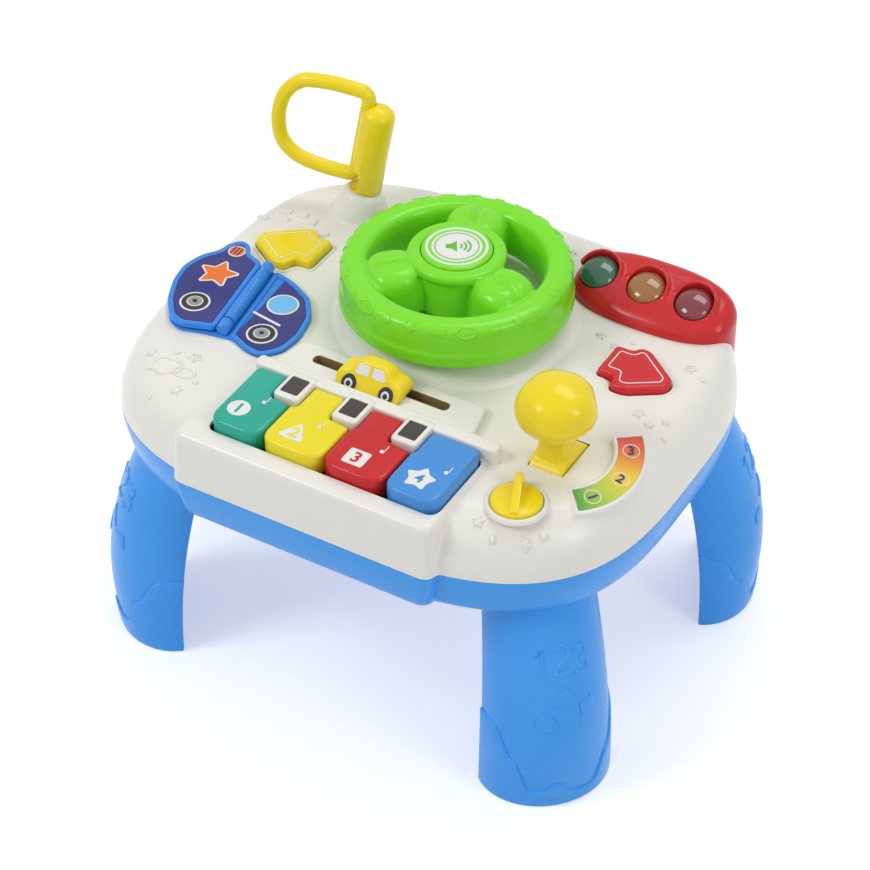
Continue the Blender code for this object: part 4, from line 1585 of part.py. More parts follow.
def make_post():
    dome = POST_RADIUS * 0.75
    top = POST_LENGTH
    profile = [(0.0, top), (POST_RADIUS * 0.45, top - dome * 0.12), (POST_RADIUS * 0.8, top - dome * 0.5),
               (POST_RADIUS, top - dome), (POST_RADIUS, POST_FOOT_HEIGHT), (POST_FOOT_RADIUS, POST_FOOT_HEIGHT),
               (POST_FOOT_RADIUS, 0.0), (SHANK_RADIUS, 0.0), (SHANK_RADIUS, -SHANK_LENGTH), (0.0, -SHANK_LENGTH)]
    post = turned("loop_post", profile, (0.0, 0.0, 0.0), finish_of("post_yellow", YELLOW, 0.25), steps=POST_STEPS)
    on_post(post)
    grip = LOOP_ROD_RADIUS + FIT_GAP
    groove = cylinder("loop_groove", grip, POST_FOOT_HEIGHT, POST_LENGTH + CUT_OVERRUN, (LOOP_BAR_OFFSET, 0.0),
                      steps=16)
    notch_top = LOOP_LOW + LOOP_ROD_RADIUS + CUT_OVERRUN
    notch = block("arm_notch", (LOOP_BAR_OFFSET - LOOP_ROD_RADIUS - MOVE_GAP, -2 * POST_RADIUS, POST_FOOT_HEIGHT),
                  (2 * POST_RADIUS, 2 * POST_RADIUS, notch_top))
    cut(post, on_post(groove), on_post(notch),
        on_post(cylinder("post_pilot", SCREW_RADIUS + FIT_GAP, -SHANK_LENGTH - CUT_OVERRUN,
                         -SHANK_LENGTH + SCREW_BITE + FIT_GAP, (0.0, 0.0), steps=SMALL_ROUND_STEPS)))
    head_top = -SHANK_LENGTH - FIT_GAP
    on_post(turned("post_retainer", [(0.0, -SHANK_LENGTH + SCREW_BITE), (SCREW_RADIUS, -SHANK_LENGTH + SCREW_BITE),
                                     (SCREW_RADIUS, head_top), (SHANK_RADIUS + WASHER_OVERLAP, head_top),
                                     (SHANK_RADIUS + WASHER_OVERLAP, head_top - WASHER_THICKNESS),
                                     (0.0, head_top - WASHER_THICKNESS)], (0.0, 0.0, 0.0),
                   finish_of("post_retainer_steel", STEEL, 0.3, 1.0), steps=SMALL_ROUND_STEPS))

    curve = bpy.data.curves.new("swing_loop", "CURVE")
    curve.dimensions = "3D"
    curve.bevel_depth = LOOP_ROD_RADIUS
    curve.bevel_resolution = 2
    spline = curve.splines.new("POLY")
    points = loop_path()
    spline.points.add(len(points) - 1)
    for dot, point in zip(spline.points, points):
        dot.co = (*point, 1.0)
    spline.use_cyclic_u = True
    loop = bpy.data.objects.new("swing_loop", curve)
    PARTS.objects.link(loop)
    curve.materials.append(finish_of("loop_yellow", YELLOW, 0.25))
    on_post(loop)


make_top_shell()
make_base_shell()
for leg_name, leg_x, leg_y in (("leg_front_left", -1, -1), ("leg_front_right", 1, -1),
                               ("leg_back_left", -1, 1), ("leg_back_right", 1, 1)):
    make_leg(leg_name, leg_x, leg_y)
make_base_contents()
make_piano()
make_slider()
make_steering_wheel()
make_lights()
make_turn_button("turn_button_left", ARROW_LEFT_PLACE, -1, YELLOW)
make_turn_button("turn_button_right", ARROW_RIGHT_PLACE, 1, RED)
make_gear()
make_switch()
make_book()
make_post()
bpy.context.view_layer.update()
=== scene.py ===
# %% [markdown]
# # A child's activity table
# The real thing is a play table of moulded plastic. A white deck with rounded edges sits on a
# blue base, and four hollow blue legs spread outwards under it. On the deck are a lime steering
# wheel, four piano keys, a sliding car, turn arrows, a gear lever, a switch, a book in the shape
# of a car, traffic lights and a post with a swinging loop.
#
# A measured model of the same table is loaded first. It knows where every piece is and how it
# moves. This lesson gives each piece its fine shape and its finish, and leaves it where it was.

# %% Load the measured table
import math
import random

import bmesh
import bpy
from mathutils import Matrix, Vector
from mathutils.bvhtree import BVHTree


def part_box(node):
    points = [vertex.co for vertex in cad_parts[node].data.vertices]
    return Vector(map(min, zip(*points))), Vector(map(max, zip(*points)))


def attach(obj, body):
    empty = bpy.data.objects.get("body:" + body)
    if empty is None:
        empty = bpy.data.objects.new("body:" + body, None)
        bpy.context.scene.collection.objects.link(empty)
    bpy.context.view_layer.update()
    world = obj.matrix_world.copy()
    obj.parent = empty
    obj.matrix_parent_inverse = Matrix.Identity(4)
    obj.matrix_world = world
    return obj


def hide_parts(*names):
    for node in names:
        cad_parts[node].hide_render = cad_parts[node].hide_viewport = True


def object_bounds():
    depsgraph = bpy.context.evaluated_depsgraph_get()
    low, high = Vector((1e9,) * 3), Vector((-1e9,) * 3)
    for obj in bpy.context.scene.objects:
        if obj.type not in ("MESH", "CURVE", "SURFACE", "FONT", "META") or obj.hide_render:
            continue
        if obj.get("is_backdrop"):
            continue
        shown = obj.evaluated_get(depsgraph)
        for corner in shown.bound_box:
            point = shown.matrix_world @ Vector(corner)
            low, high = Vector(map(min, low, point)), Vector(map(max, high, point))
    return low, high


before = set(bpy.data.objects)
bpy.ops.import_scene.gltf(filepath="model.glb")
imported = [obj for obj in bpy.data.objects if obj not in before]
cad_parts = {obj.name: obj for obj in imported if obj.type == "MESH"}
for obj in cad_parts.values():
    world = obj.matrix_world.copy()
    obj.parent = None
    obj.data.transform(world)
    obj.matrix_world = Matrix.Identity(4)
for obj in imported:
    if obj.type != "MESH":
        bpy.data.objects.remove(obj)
measured_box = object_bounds()

# %% [markdown]
# ## Small helpers for shapes
# Almost every piece of this table came out of a mould, so its shape is an outline that rises
# through a few levels, or a profile that was turned round an axis. A **loft** makes both kinds.
# It takes rings of points with the same count and lays a skin of quads between them. Writing the
# rings takes a little arithmetic, but every wall then has exactly the size we ask for.


# %% Turn points and faces into a shaded piece
def piece_from(name, points, faces, crease=34):
    mesh = bpy.data.meshes.new(name)
    mesh.from_pydata([tuple(point) for point in points], [], faces)
    skin = bmesh.new()
    skin.from_mesh(mesh)
    bmesh.ops.recalc_face_normals(skin, faces=skin.faces[:])
    skin.to_mesh(mesh)
    skin.free()
    mesh.shade_smooth()
    mesh.set_sharp_from_angle(angle=math.radians(crease))
    piece = bpy.data.objects.new(name, mesh)
    bpy.context.scene.collection.objects.link(piece)
    return piece


# %% Loft a skin through rings
def loft(name, rings, crease=34, capped=True, matrix=None):
    count = len(rings[0])
    points = [Vector(point) for ring in rings for point in ring]
    if matrix:
        points = [matrix @ point for point in points]
    faces = []
    for row in range(len(rings) - 1):
        for here in range(count):
            after = (here + 1) % count
            low = row * count
            faces.append((low + here, low + after, low + count + after, low + count + here))
    if capped:
        faces.append(tuple(reversed(range(count))))
        faces.append(tuple(range(len(points) - count, len(points))))
    return piece_from(name, points, faces, crease)


# %% Turn a profile round an upright axis
def turned(name, profile, centre=(0.0, 0.0), steps=96, crease=34, matrix=None):
    """Profile of (radius, height) pairs. A radius of 0 closes the shape."""
    tiny = 0.00002
    rings = []
    for radius, height in profile:
        rings.append([(centre[0] + max(radius, tiny) * math.cos(2 * math.pi * step / steps),
                       centre[1] + max(radius, tiny) * math.sin(2 * math.pi * step / steps), height)
                      for step in range(steps)])
    return loft(name, rings, crease, True, matrix)


# %% [markdown]
# ## Outlines
# A moulded outline has no sharp corner. `rounded` replaces each corner with an arc, and `swept`
# draws one smooth closed curve through a few points, which suits free shapes such as the book.
# `moved_in` shifts an outline inwards, so that a plate can get a rounded upper edge.


# %% Soften corners, draw smooth curves, shift outlines
def rounded(points, radius, steps=6):
    soft = []
    count = len(points)
    radii = radius if isinstance(radius, (list, tuple)) else [radius] * count
    for here in range(count):
        before, at, after = (Vector(points[(here + step) % count]) for step in (-1, 0, 1))
        reach = min(radii[here], (at - before).length * 0.48, (after - at).length * 0.48)
        start = at + (before - at).normalized() * reach
        end = at + (after - at).normalized() * reach
        for step in range(steps + 1):
            share = step / steps
            soft.append(start * (1 - share) ** 2 + at * 2 * share * (1 - share) + end * share ** 2)
    return soft


def swept(points, steps=6):
    soft = []
    count = len(points)
    for here in range(count):
        a, b, c, d = (Vector(points[(here + step) % count]) for step in (-1, 0, 1, 2))
        for step in range(steps):
            t = step / steps
            soft.append(0.5 * ((2 * b) + (c - a) * t + (2 * a - 5 * b + 4 * c - d) * t * t
                               + (3 * b - a - 3 * c + d) * t ** 3))
    return soft


def moved_in(points, inset):
    """Shift an anticlockwise outline inwards, corner by corner."""
    moved = []
    count = len(points)
    for here in range(count):
        before, at, after = (Vector(points[(here + step) % count]) for step in (-1, 0, 1))
        first, second = (at - before), (after - at)
        if first.length < 1e-9 or second.length < 1e-9:
            moved.append(at)
            continue
        first, second = first.normalized(), second.normalized()
        normal = Vector((-first.y - second.y, first.x + second.x)).normalized()
        moved.append(at + normal * inset / max(normal.dot(Vector((-first.y, first.x))), 0.6))
    return moved


def circle(radius, centre=(0.0, 0.0), steps=40):
    return [Vector((centre[0] + radius * math.cos(2 * math.pi * step / steps),
                    centre[1] + radius * math.sin(2 * math.pi * step / steps))) for step in range(steps)]


def inner_edge(points, inset):
    """Shift an outline inwards and leave out the spots where it would fold over itself."""
    kept = []
    for spot in moved_in(points, inset):
        nearest = inset
        for here, start in enumerate(points):
            way = points[(here + 1) % len(points)] - start
            share = min(max((spot - start).dot(way) / max(way.length_squared, 1e-12), 0.0), 1.0)
            nearest = min(nearest, (spot - start - way * share).length)
        if nearest > inset * 0.94:
            kept.append(spot)
    return kept


def box_outline(left, right, front, back):
    return [Vector((left, front)), Vector((right, front)), Vector((right, back)), Vector((left, back))]


# %% A plate with a rounded upper edge
def plate(name, outline, bottom, top, edge=0.0, crease=34, matrix=None, rolls=4):
    rings = [[(point.x, point.y, bottom) for point in outline]]
    for step in range(rolls + 1):
        turn = math.pi / 2 * step / rolls
        shrink = edge * (1 - math.cos(turn))
        height = top - edge * (1 - math.sin(turn))
        rings.append([(point.x, point.y, height) for point in moved_in(outline, shrink)])
    return loft(name, rings if edge else rings[:1] + rings[-1:], crease, True, matrix)


# %% [markdown]
# ## Melting shapes together
# A real moulding has no seam where a dome meets a flat: the steel mould was cut with a round
# tool. The **voxel remesh** gives the same effect. The overlapping shapes are joined, a fine
# grid of voxels is laid over them, and one skin comes out, which a little smoothing rounds off.
# Holes are cut afterwards with booleans, so that their edges stay crisp.


# %% Join, melt and carve
def settle(piece):
    """Apply the modifiers of a piece."""
    bpy.context.view_layer.update()
    seen = piece.evaluated_get(bpy.context.evaluated_depsgraph_get())
    fresh = bpy.data.meshes.new_from_object(seen)
    piece.modifiers.clear()
    old, piece.data = piece.data, fresh
    bpy.data.meshes.remove(old)
    return piece


def joined(name, pieces, crease=34):
    points, faces = [], []
    for part in pieces:
        start = len(points)
        points += [part.matrix_world @ corner.co for corner in part.data.vertices]
        faces += [tuple(start + index for index in face.vertices) for face in part.data.polygons]
        bpy.data.objects.remove(part, do_unlink=True)
    mesh = bpy.data.meshes.new(name)
    mesh.from_pydata([tuple(point) for point in points], [], faces)
    mesh.shade_smooth()
    mesh.set_sharp_from_angle(angle=math.radians(crease))
    piece = bpy.data.objects.new(name, mesh)
    bpy.context.scene.collection.objects.link(piece)
    return piece


def melted(name, pieces, voxel, rounds=4):
    piece = joined(name, pieces)
    melt = piece.modifiers.new("melt", "REMESH")
    melt.mode = "VOXEL"
    melt.voxel_size = voxel
    melt.use_smooth_shade = True
    soften = piece.modifiers.new("soften", "SMOOTH")
    soften.factor = 0.5
    soften.iterations = rounds
    return settle(piece)


def carved(piece, tools, solver="MANIFOLD", crease=40):
    for tool in tools:
        step = piece.modifiers.new("carve", "BOOLEAN")
        step.operation = "DIFFERENCE"
        step.solver = solver
        step.object = tool
    settle(piece)
    for tool in tools:
        bpy.data.objects.remove(tool, do_unlink=True)
    piece.data.shade_smooth()
    piece.data.set_sharp_from_angle(angle=math.radians(crease))
    return piece


# %% [markdown]
# ## Plastic finishes
# All the plastic here is coloured right through and comes out glossy from a polished mould.
# Seen close up it isn't perfectly even: the colour drifts a little with the flow of the melt,
# the gloss changes where small hands rub, and the skin has a very fine unevenness. Three noise
# textures in **object coordinates** give these, in metres, so their scale is the same on every
# piece.


# %% Moulded plastic
def wired(tree, kind, inputs=(), **settings):
    made = tree.nodes.new(kind)
    for key, value in settings.items():
        setattr(made, key, value)
    for socket, value in inputs:
        if isinstance(value, bpy.types.NodeSocket):
            tree.links.new(value, made.inputs[socket])
        else:
            made.inputs[socket].default_value = value
    return made


def plastic(name, colour, gloss=0.24, drift=0.06, grain=0.10, scuffs=0.06):
    finish = bpy.data.materials.new(name)
    finish.use_nodes = True
    tree = finish.node_tree
    shader = tree.nodes["Principled BSDF"]
    place = wired(tree, "ShaderNodeTexCoord").outputs["Object"]
    flow = wired(tree, "ShaderNodeTexNoise", [("Vector", place), ("Scale", 26.0), ("Detail", 3.0)])
    darker = tuple(channel * (1 - drift) for channel in colour) + (1.0,)
    paler = tuple(channel + (1 - channel) * drift * 0.5 for channel in colour) + (1.0,)
    tone = wired(tree, "ShaderNodeMix", [(0, flow.outputs["Fac"]), (6, darker), (7, paler)], data_type="RGBA")
    tree.links.new(tone.outputs[2], shader.inputs["Base Color"])
    rub = wired(tree, "ShaderNodeTexNoise", [("Vector", place), ("Scale", 90.0), ("Detail", 5.0)])
    polish = wired(tree, "ShaderNodeMapRange", [("Value", rub.outputs["Fac"]), ("From Min", 0.3),
                                                 ("From Max", 0.7), ("To Min", gloss - scuffs / 2),
                                                 ("To Max", gloss + scuffs)])
    tree.links.new(polish.outputs[0], shader.inputs["Roughness"])
    skin = wired(tree, "ShaderNodeTexNoise", [("Vector", place), ("Scale", 420.0), ("Detail", 2.0)])
    bump = wired(tree, "ShaderNodeBump", [("Height", skin.outputs["Fac"]), ("Strength", grain),
                                           ("Distance", 0.0004)])
    tree.links.new(bump.outputs["Normal"], shader.inputs["Normal"])
    shader.inputs["IOR"].default_value = 1.5
    shader.inputs["Specular IOR Level"].default_value = 0.28
    finish.diffuse_color = (*colour, 1.0)
    return finish


# %% Mix the colours of this table
shell_white = plastic("deck white plastic", (0.820, 0.805, 0.745), 0.22, 0.03, 0.10)
base_blue = plastic("base blue plastic", (0.035, 0.345, 0.915), 0.26, 0.07, 0.12)
wheel_lime = plastic("wheel lime plastic", (0.200, 0.760, 0.006), 0.17, 0.06, 0.08)
bright_yellow = plastic("bright yellow plastic", (0.900, 0.700, 0.004), 0.15, 0.05, 0.07)
signal_red = plastic("signal red plastic", (0.600, 0.004, 0.008), 0.17, 0.08, 0.06)
book_blue = plastic("book blue plastic", (0.020, 0.240, 0.780), 0.18, 0.07, 0.08)
print("plastics:", len([finish for finish in bpy.data.materials if "plastic" in finish.name]))


# %% Hand a piece to its body
def dress(piece, finish, body, slot=None, *nodes):
    """Give a piece its finish, its moving body and the measured pieces it stands for. The paint slot argument is not
    used.
    """
    piece.data.materials.clear()
    for one in finish if isinstance(finish, (list, tuple)) else [finish]:
        piece.data.materials.append(one)
    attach(piece, body)
    if nodes:
        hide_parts(*nodes)
    return piece

# %% [markdown]
# ## The white deck
# From above, the table is neither an oval nor a box. A **superellipse** sits between the two: its
# power sets how square the corners are. The deck rises from the seam in a quarter round that is
# broad at the front and tight at the back. The flat platforms for the keys, the wheel, the book
# and the post grow out of it, so all of them are melted together, and then the holes are cut.

# %% The table's outline and its rounded deck
HALF_WIDTH, HALF_DEPTH, SETBACK = 0.1595, 0.1345, 0.0029
SEAM_TOP, SEAM_BOTTOM, FLOOR = 0.15575, 0.15545, 0.1320
DECK, WALL = 0.1870, 0.0022


def superellipse(half_width, front, back, power, steps=240, centre=(0.0, 0.0), widening=0.0):
    points = []
    for step in range(steps):
        turn = 2 * math.pi * step / steps
        across, along = math.cos(turn), math.sin(turn)
        depth = back if along > 0 else front
        width = half_width + widening * min(max(along, 0.0) / 0.55, 1.0)
        points.append(Vector((centre[0] + width * math.copysign(abs(across) ** (2 / power), across),
                              centre[1] + depth * math.copysign(abs(along) ** (2 / power), along))))
    return points


def table_ring(inset, height, back_share=1.0, side_share=1.0):
    outline = superellipse(HALF_WIDTH - inset, HALF_DEPTH - SETBACK - inset, HALF_DEPTH - inset * back_share,
                           3.17, widening=inset * (1 - side_share))
    return [(point.x, point.y, height) for point in outline]


def deck_dome(name, grow, bottom):
    rings = [table_ring(-grow, bottom)]
    for degrees in range(0, 91, 6):
        inset = 0.026 * (1 - math.cos(math.radians(degrees))) - grow
        height = SEAM_TOP + (DECK - SEAM_TOP + grow) * math.sin(math.radians(degrees))
        shares = (1.0, 1.0) if inset <= 0 else (0.25, 0.45)
        rings.append(table_ring(inset, height, *shares))
    return loft(name, rings)


# %% Platforms that grow out of the deck
BLOCK_TOP, PANEL_TOP, MOUND_TOP = 0.1880, 0.1915, 0.1948
WHEEL_Y = 0.0304


def key_block(name, grow, bottom):
    outline = box_outline(-0.080, 0.080, -0.1345, -0.057)
    levels = [(-grow, bottom), (-grow, SEAM_TOP)]
    for degrees in range(0, 91, 18):
        turn = math.radians(degrees)
        levels.append((0.0016 + 0.0042 * (1 - math.cos(turn)) - grow, BLOCK_TOP - 0.0050 * (1 - math.sin(turn)) + grow))
    rings = [[(point.x, point.y, height) for point in rounded(moved_in(outline, inset), max(0.008 - inset, 0.002), 8)]
             for inset, height in levels]
    return loft(name, rings)


BOOK_LEFT = ((-.075, -.43), (-.19, -.475), (-.29, -.425), (-.39, -.28), (-.465, -.09), (-.492, .08), (-.455, .24),
             (-.385, .335), (-.370, .445), (-.310, .512), (-.240, .490), (-.205, .410))
BOOK_RIGHT = ((.17, .335), (.345, .235), (.455, .065), (.495, -.145), (.475, -.33), (.385, -.455), (.27, -.445),
              (.15, -.385))


def book_spots(shares):
    return [Vector((-0.1053 + across * 0.0900, -0.0215 + along * 0.0820)) for across, along in shares]


def post_axes():
    """The post's own axes: Z along the leaning post, X towards the loop."""
    lean = Vector((math.tan(math.radians(7.3)), math.tan(math.radians(7.8)), 1.0)).normalized()
    towards = Vector((math.cos(math.radians(193)), math.sin(math.radians(193)), 0.0))
    across = (towards - lean * towards.dot(lean)).normalized()
    turn = Matrix((across, lean.cross(across), lean)).transposed().to_4x4()
    return Matrix.Translation((-0.0954, 0.0900, DECK + 0.0145)) @ turn


GEAR_X, GEAR_Y, GEAR_PIVOT = 0.1050, -0.0455, 0.1725


def label_band(outer, inner, start, end, steps=28):
    def spot(radius, degrees):
        return Vector((0.1032 + radius * math.cos(math.radians(degrees)),
                       -0.0442 + radius * math.sin(math.radians(degrees))))
    turns = [start + (end - start) * step / steps for step in range(steps + 1)]
    return [spot(outer, turn) for turn in turns] + [spot(inner, turn) for turn in reversed(turns)]


def label_tilt():
    downhill = Vector((math.cos(math.radians(-24)), math.sin(math.radians(-24)), 0.0))
    edge = Vector((0.1032, -0.0442, DECK)) + downhill * 0.0315 * 0.85
    turn = Matrix.Rotation(math.radians(12), 4, Vector((-downhill.y, downhill.x, 0.0)))
    return Matrix.Translation(edge) @ turn @ Matrix.Translation(-edge)


# %% Turn arrows: outline shared by the deck's rims and the buttons
ARROW = ((-.50, -.27), (-.50, .38), (-.25, .38), (-.18, .50), (-.03, .50), (.50, .06), (.50, -.16), (.02, -.50),
         (-.19, -.49), (-.26, -.27))
ARROW_SPOTS = {"right": ((0.1110, 0.0320), 1), "left": (((-0.1108), 0.0340), -1)}


def arrow_outline(which, grow=0.0, corner=0.0028, steps=6):
    (x, y), side = ARROW_SPOTS[which]
    points = [Vector((x + side * across * 0.0395, y + along * 0.0370)) for across, along in ARROW]
    if side > 0:
        points.reverse()
    return rounded(moved_in(points, -grow), corner + max(grow, 0.0), steps)


# %% Melt the deck
deck_parts = [deck_dome("deck_dome", 0.0, SEAM_TOP - 0.006), key_block("key_block", 0.0, SEAM_TOP - 0.006)]
deck_parts.append(turned("mound", [(0.0, 0.182), (0.068, 0.182), (0.068, DECK), (0.0665, DECK + 0.0012),
                                   (0.0520, MOUND_TOP - 0.0006), (0.0490, MOUND_TOP), (0.0, MOUND_TOP)],
                         (0.0, WHEEL_Y)))
book_whole = list(reversed(book_spots(BOOK_LEFT + BOOK_RIGHT)))
deck_parts.append(plate("plinth", rounded(moved_in(book_whole, -0.0022), 0.0050, 5), 0.176, 0.1882, 0.0008))
panel = [Vector((-0.062, -0.059)), Vector((0.062, -0.059)), Vector((0.057, -0.035)), Vector((-0.057, -0.035))]
deck_parts.append(plate("panel", rounded(panel, 0.004, 8), 0.184, PANEL_TOP, 0.0012))
deck_parts.append(turned("boss", [(0.0, -0.018), (0.0172, -0.018), (0.0165, -0.0145), (0.0150, -0.0105),
                                  (0.0136, -0.0060), (0.0122, -0.0024), (0.0108, -0.0010), (0.0088, -0.0004),
                                  (0.0, -0.0003)], steps=72, matrix=post_axes()))
deck_parts.append(plate("gear_pad", label_band(0.0472, 0.0293, -50, 45), 0.176, DECK + 0.0012, 0.0008,
                        matrix=label_tilt()))
deck = melted("deck", deck_parts, 0.0010, 3)
print("deck skin:", len(deck.data.polygons), "faces")


# %% Cut the hollow and the holes
def bar(name, radius, start, end, steps=64):
    start, end = Vector(start), Vector(end)
    lie = Matrix.Translation(start) @ (end - start).to_track_quat("Z", "Y").to_matrix().to_4x4()
    return turned(name, [(radius, 0.0), (radius, (end - start).length)], steps=steps, matrix=lie)


def brick(name, low, high):
    return plate(name, box_outline(low[0], high[0], low[1], high[1]), low[2], high[2])


cutters = [brick("below", (-0.2, -0.2, 0.10), (0.2, 0.2, SEAM_TOP)), deck_dome("hollow", -WALL, 0.11),
           key_block("block_hollow", -WALL, 0.11)]
opening = box_outline(-0.0640, 0.0750, -0.1215, -0.0701)
cutters.append(plate("key_opening", rounded(opening, [0.007, 0.007, 0.006, 0.003], 8), 0.165, 0.20))
slot = rounded(box_outline(-0.044, 0.040, -0.0500, -0.0430), 0.0035, 10)
cutters.append(plate("car_slot", slot, 0.178, 0.20))
cutters += [plate(f"arrow_hole_{side}", arrow_outline(side, 0.0005), 0.165, 0.20) for side in ARROW_SPOTS]
cutters.append(bar("gear_slot", 0.0210, (GEAR_X - 0.0105, GEAR_Y, GEAR_PIVOT), (GEAR_X + 0.0105, GEAR_Y, GEAR_PIVOT)))
cutters.append(turned("switch_hole", [(0.0045, 0.170), (0.0045, 0.200)], (0.1045, -0.0895), 32))
cutters.append(turned("shaft_bore", [(0.0078, 0.170), (0.0078, 0.200)], (0.0, WHEEL_Y), 32))
cutters.append(turned("shank_bore", [(0.0055, -0.030), (0.0055, 0.004)], steps=32, matrix=post_axes()))
carved(deck, cutters)
dress(deck, shell_white, "table", "white_shell", "top_shell")
print("deck carved:", len(deck.data.polygons), "faces")


# %% [markdown]
# ## Trim on the deck
# The rail that carries the black keys' frames, the rims round the arrows and the collar of the
# switch have tighter edges than the rest, so they are made apart and set onto the deck. The rail
# gets its own melt with a finer voxel, so its small inner corners stay.

# %% Rail with three frames
rail_parts = [plate("rail", rounded(box_outline(-0.0669, 0.0815, -0.0701, -0.0618), 0.0028, 6), 0.1850, 0.1960, 0.0012)]
for x in (-0.036, 0.0, 0.036):
    tongue = box_outline(x - 0.00775, x + 0.00775, -0.0877, -0.0662)
    rail_parts.append(plate("tongue", rounded(tongue, 0.0028, 6), 0.1836, 0.1970, 0.0011))
rail = melted("key_rail", rail_parts, 0.0006, 2)
pockets = [plate("pocket", rounded(box_outline(x - 0.0054, x + 0.0054, -0.0843, -0.0704), 0.0012, 4), 0.1959, 0.199)
           for x in (-0.036, 0.0, 0.036)]
carved(rail, pockets)
dress(rail, shell_white, "table", "white_shell")


# %% Rims and collar
def band_loop(name, outlines, crease=40, matrix=None):
    """A ring-shaped piece: outlines of equal count with heights, and back to the first."""
    rings = [[(point.x, point.y, height) for point in outline] for outline, height in outlines]
    return loft(name, rings + rings[:1], crease, False, matrix)


for side in ARROW_SPOTS:
    wide, narrow = arrow_outline(side, 0.0027), arrow_outline(side, 0.0005, 0.0030)
    rim = band_loop(f"arrow_rim_{side}", [(wide, 0.1860), (moved_in(wide, 0.0001), 0.1871),
                                          (moved_in(wide, 0.0006), 0.1877), (moved_in(wide, 0.0012), 0.1879),
                                          (moved_in(wide, 0.0018), 0.1877), (moved_in(wide, 0.0022), 0.1871),
                                          (moved_in(wide, 0.0022), 0.1860)])
    dress(rim, shell_white, "table", "white_shell")
collar = band_loop("switch_collar", [(circle(0.0168, (0.1045, -0.0895), 72), 0.1860),
                                     (circle(0.0163, (0.1045, -0.0895), 72), 0.1876),
                                     (circle(0.0156, (0.1045, -0.0895), 72), 0.1884),
                                     (circle(0.0148, (0.1045, -0.0895), 72), 0.1886),
                                     (circle(0.0142, (0.1045, -0.0895), 72), 0.1882),
                                     (circle(0.0141, (0.1045, -0.0895), 72), 0.1860)])
dress(collar, shell_white, "table", "white_shell")

# %% Painted shade in the slot
# The olive-brown band round the walls of the car slot is painted shade: it stands for the shadow inside the slot.
olive_shadow = plastic("slot lining plastic", (0.300, 0.205, 0.055), 0.45, 0.10)
lining = band_loop("slot_painted_shade", [(slot, 0.1846), (slot, 0.19155), (moved_in(slot, 0.00035), 0.19158),
                                   (moved_in(slot, 0.00035), 0.1846)])
dress(lining, olive_shadow, "table", "dark_inlay")

# %% [markdown]
# ## Raised decoration
# The mould carries small raised pictures: stars, dots, clouds, tiles and big numbers. Each one is
# an outline with soft shoulders that follows the surface under it. On the deck the height comes
# from casting a ray down on the finished skin. On a leg it comes from the leg's own formula. The
# two share one function, which gets a *laying* rule as an argument.


# %% Raised shapes and raised lines
def relief(name, outline, lay, rise=0.0010, soft=0.0007):
    middle = sum(outline, Vector((0.0, 0.0))) / len(outline)
    rings = [[lay(point.x, point.y, -0.0006) for point in outline]]
    for shrink, share in ((0.0, 0.0), (0.12, 0.45), (0.45, 0.85), (1.0, 1.0)):
        ring = moved_in(outline, soft * shrink)
        rings.append([lay(point.x, point.y, rise * share) for point in ring])
    for scale in (0.7, 0.4, 0.02):
        rings.append([lay(*(middle + (point - middle) * scale), rise * 1.04) for point in ring])
    return loft(name, rings, 50)


def raised_line(name, path, lay, width=0.0016, rise=0.0010, looped=False):
    path = [Vector(point) for point in path]
    count = len(path)
    rings = []
    for here in range(count):
        before = path[here - 1] if looped or here else path[here]
        after = path[(here + 1) % count] if looped or here < count - 1 else path[here]
        way = (after - before).normalized()
        side = Vector((-way.y, way.x))
        ends = not looped and here in (0, count - 1)
        ring = []
        for step in range(9):
            share = -1 + step / 4
            spot = path[here] + side * width / 2 * share * (0.55 if ends else 1.0)
            ring.append(lay(spot.x, spot.y, rise * math.sqrt(max(1 - share * share, 0.0)) * (0.5 if ends else 1.0)))
        ring.append(lay(path[here].x, path[here].y, -0.0006))
        rings.append(ring)
    if looped:
        return loft(name, rings + rings[:1], 50, False)
    return loft(name, rings, 50)


def star_outline(x, y, size, points=5, turn=90.0, depth=0.48, corner=0.0006):
    spots = []
    for step in range(2 * points):
        radius = size if step % 2 == 0 else size * depth
        angle = math.radians(turn + 180 / points * step)
        spots.append(Vector((x + radius * math.cos(angle), y + radius * math.sin(angle))))
    return rounded(spots, corner, 3)


def tile_outline(x, y, width, height, turn=0.0, corner=0.0012):
    spin = Matrix.Rotation(math.radians(turn), 2)
    corners = box_outline(-width / 2, width / 2, -height / 2, height / 2)
    return rounded([Vector((x, y)) + spin @ point for point in corners], corner, 4)


def cloud_outline(x, y, size, turn=0.0):
    spots = []
    for angle in range(0, 360, 9):
        lobes = 1.0 + 0.16 * abs(math.sin(math.radians(angle * 2.5)))
        spots.append(Vector((x + size * lobes * math.cos(math.radians(angle + turn)),
                             y + size * 0.62 * lobes * math.sin(math.radians(angle + turn)))))
    return spots


# %% Decorate the deck
deck_skin = BVHTree.FromObject(deck, bpy.context.evaluated_depsgraph_get())


def on_deck(x, y, rise):
    hit = deck_skin.ray_cast(Vector((x, y, 0.25)), Vector((0.0, 0.0, -1.0)))
    height = hit[0].z if hit[0] else DECK
    tilt = hit[1] if hit[0] else Vector((0.0, 0.0, 1.0))
    return Vector((x, y, height)) + tilt * rise


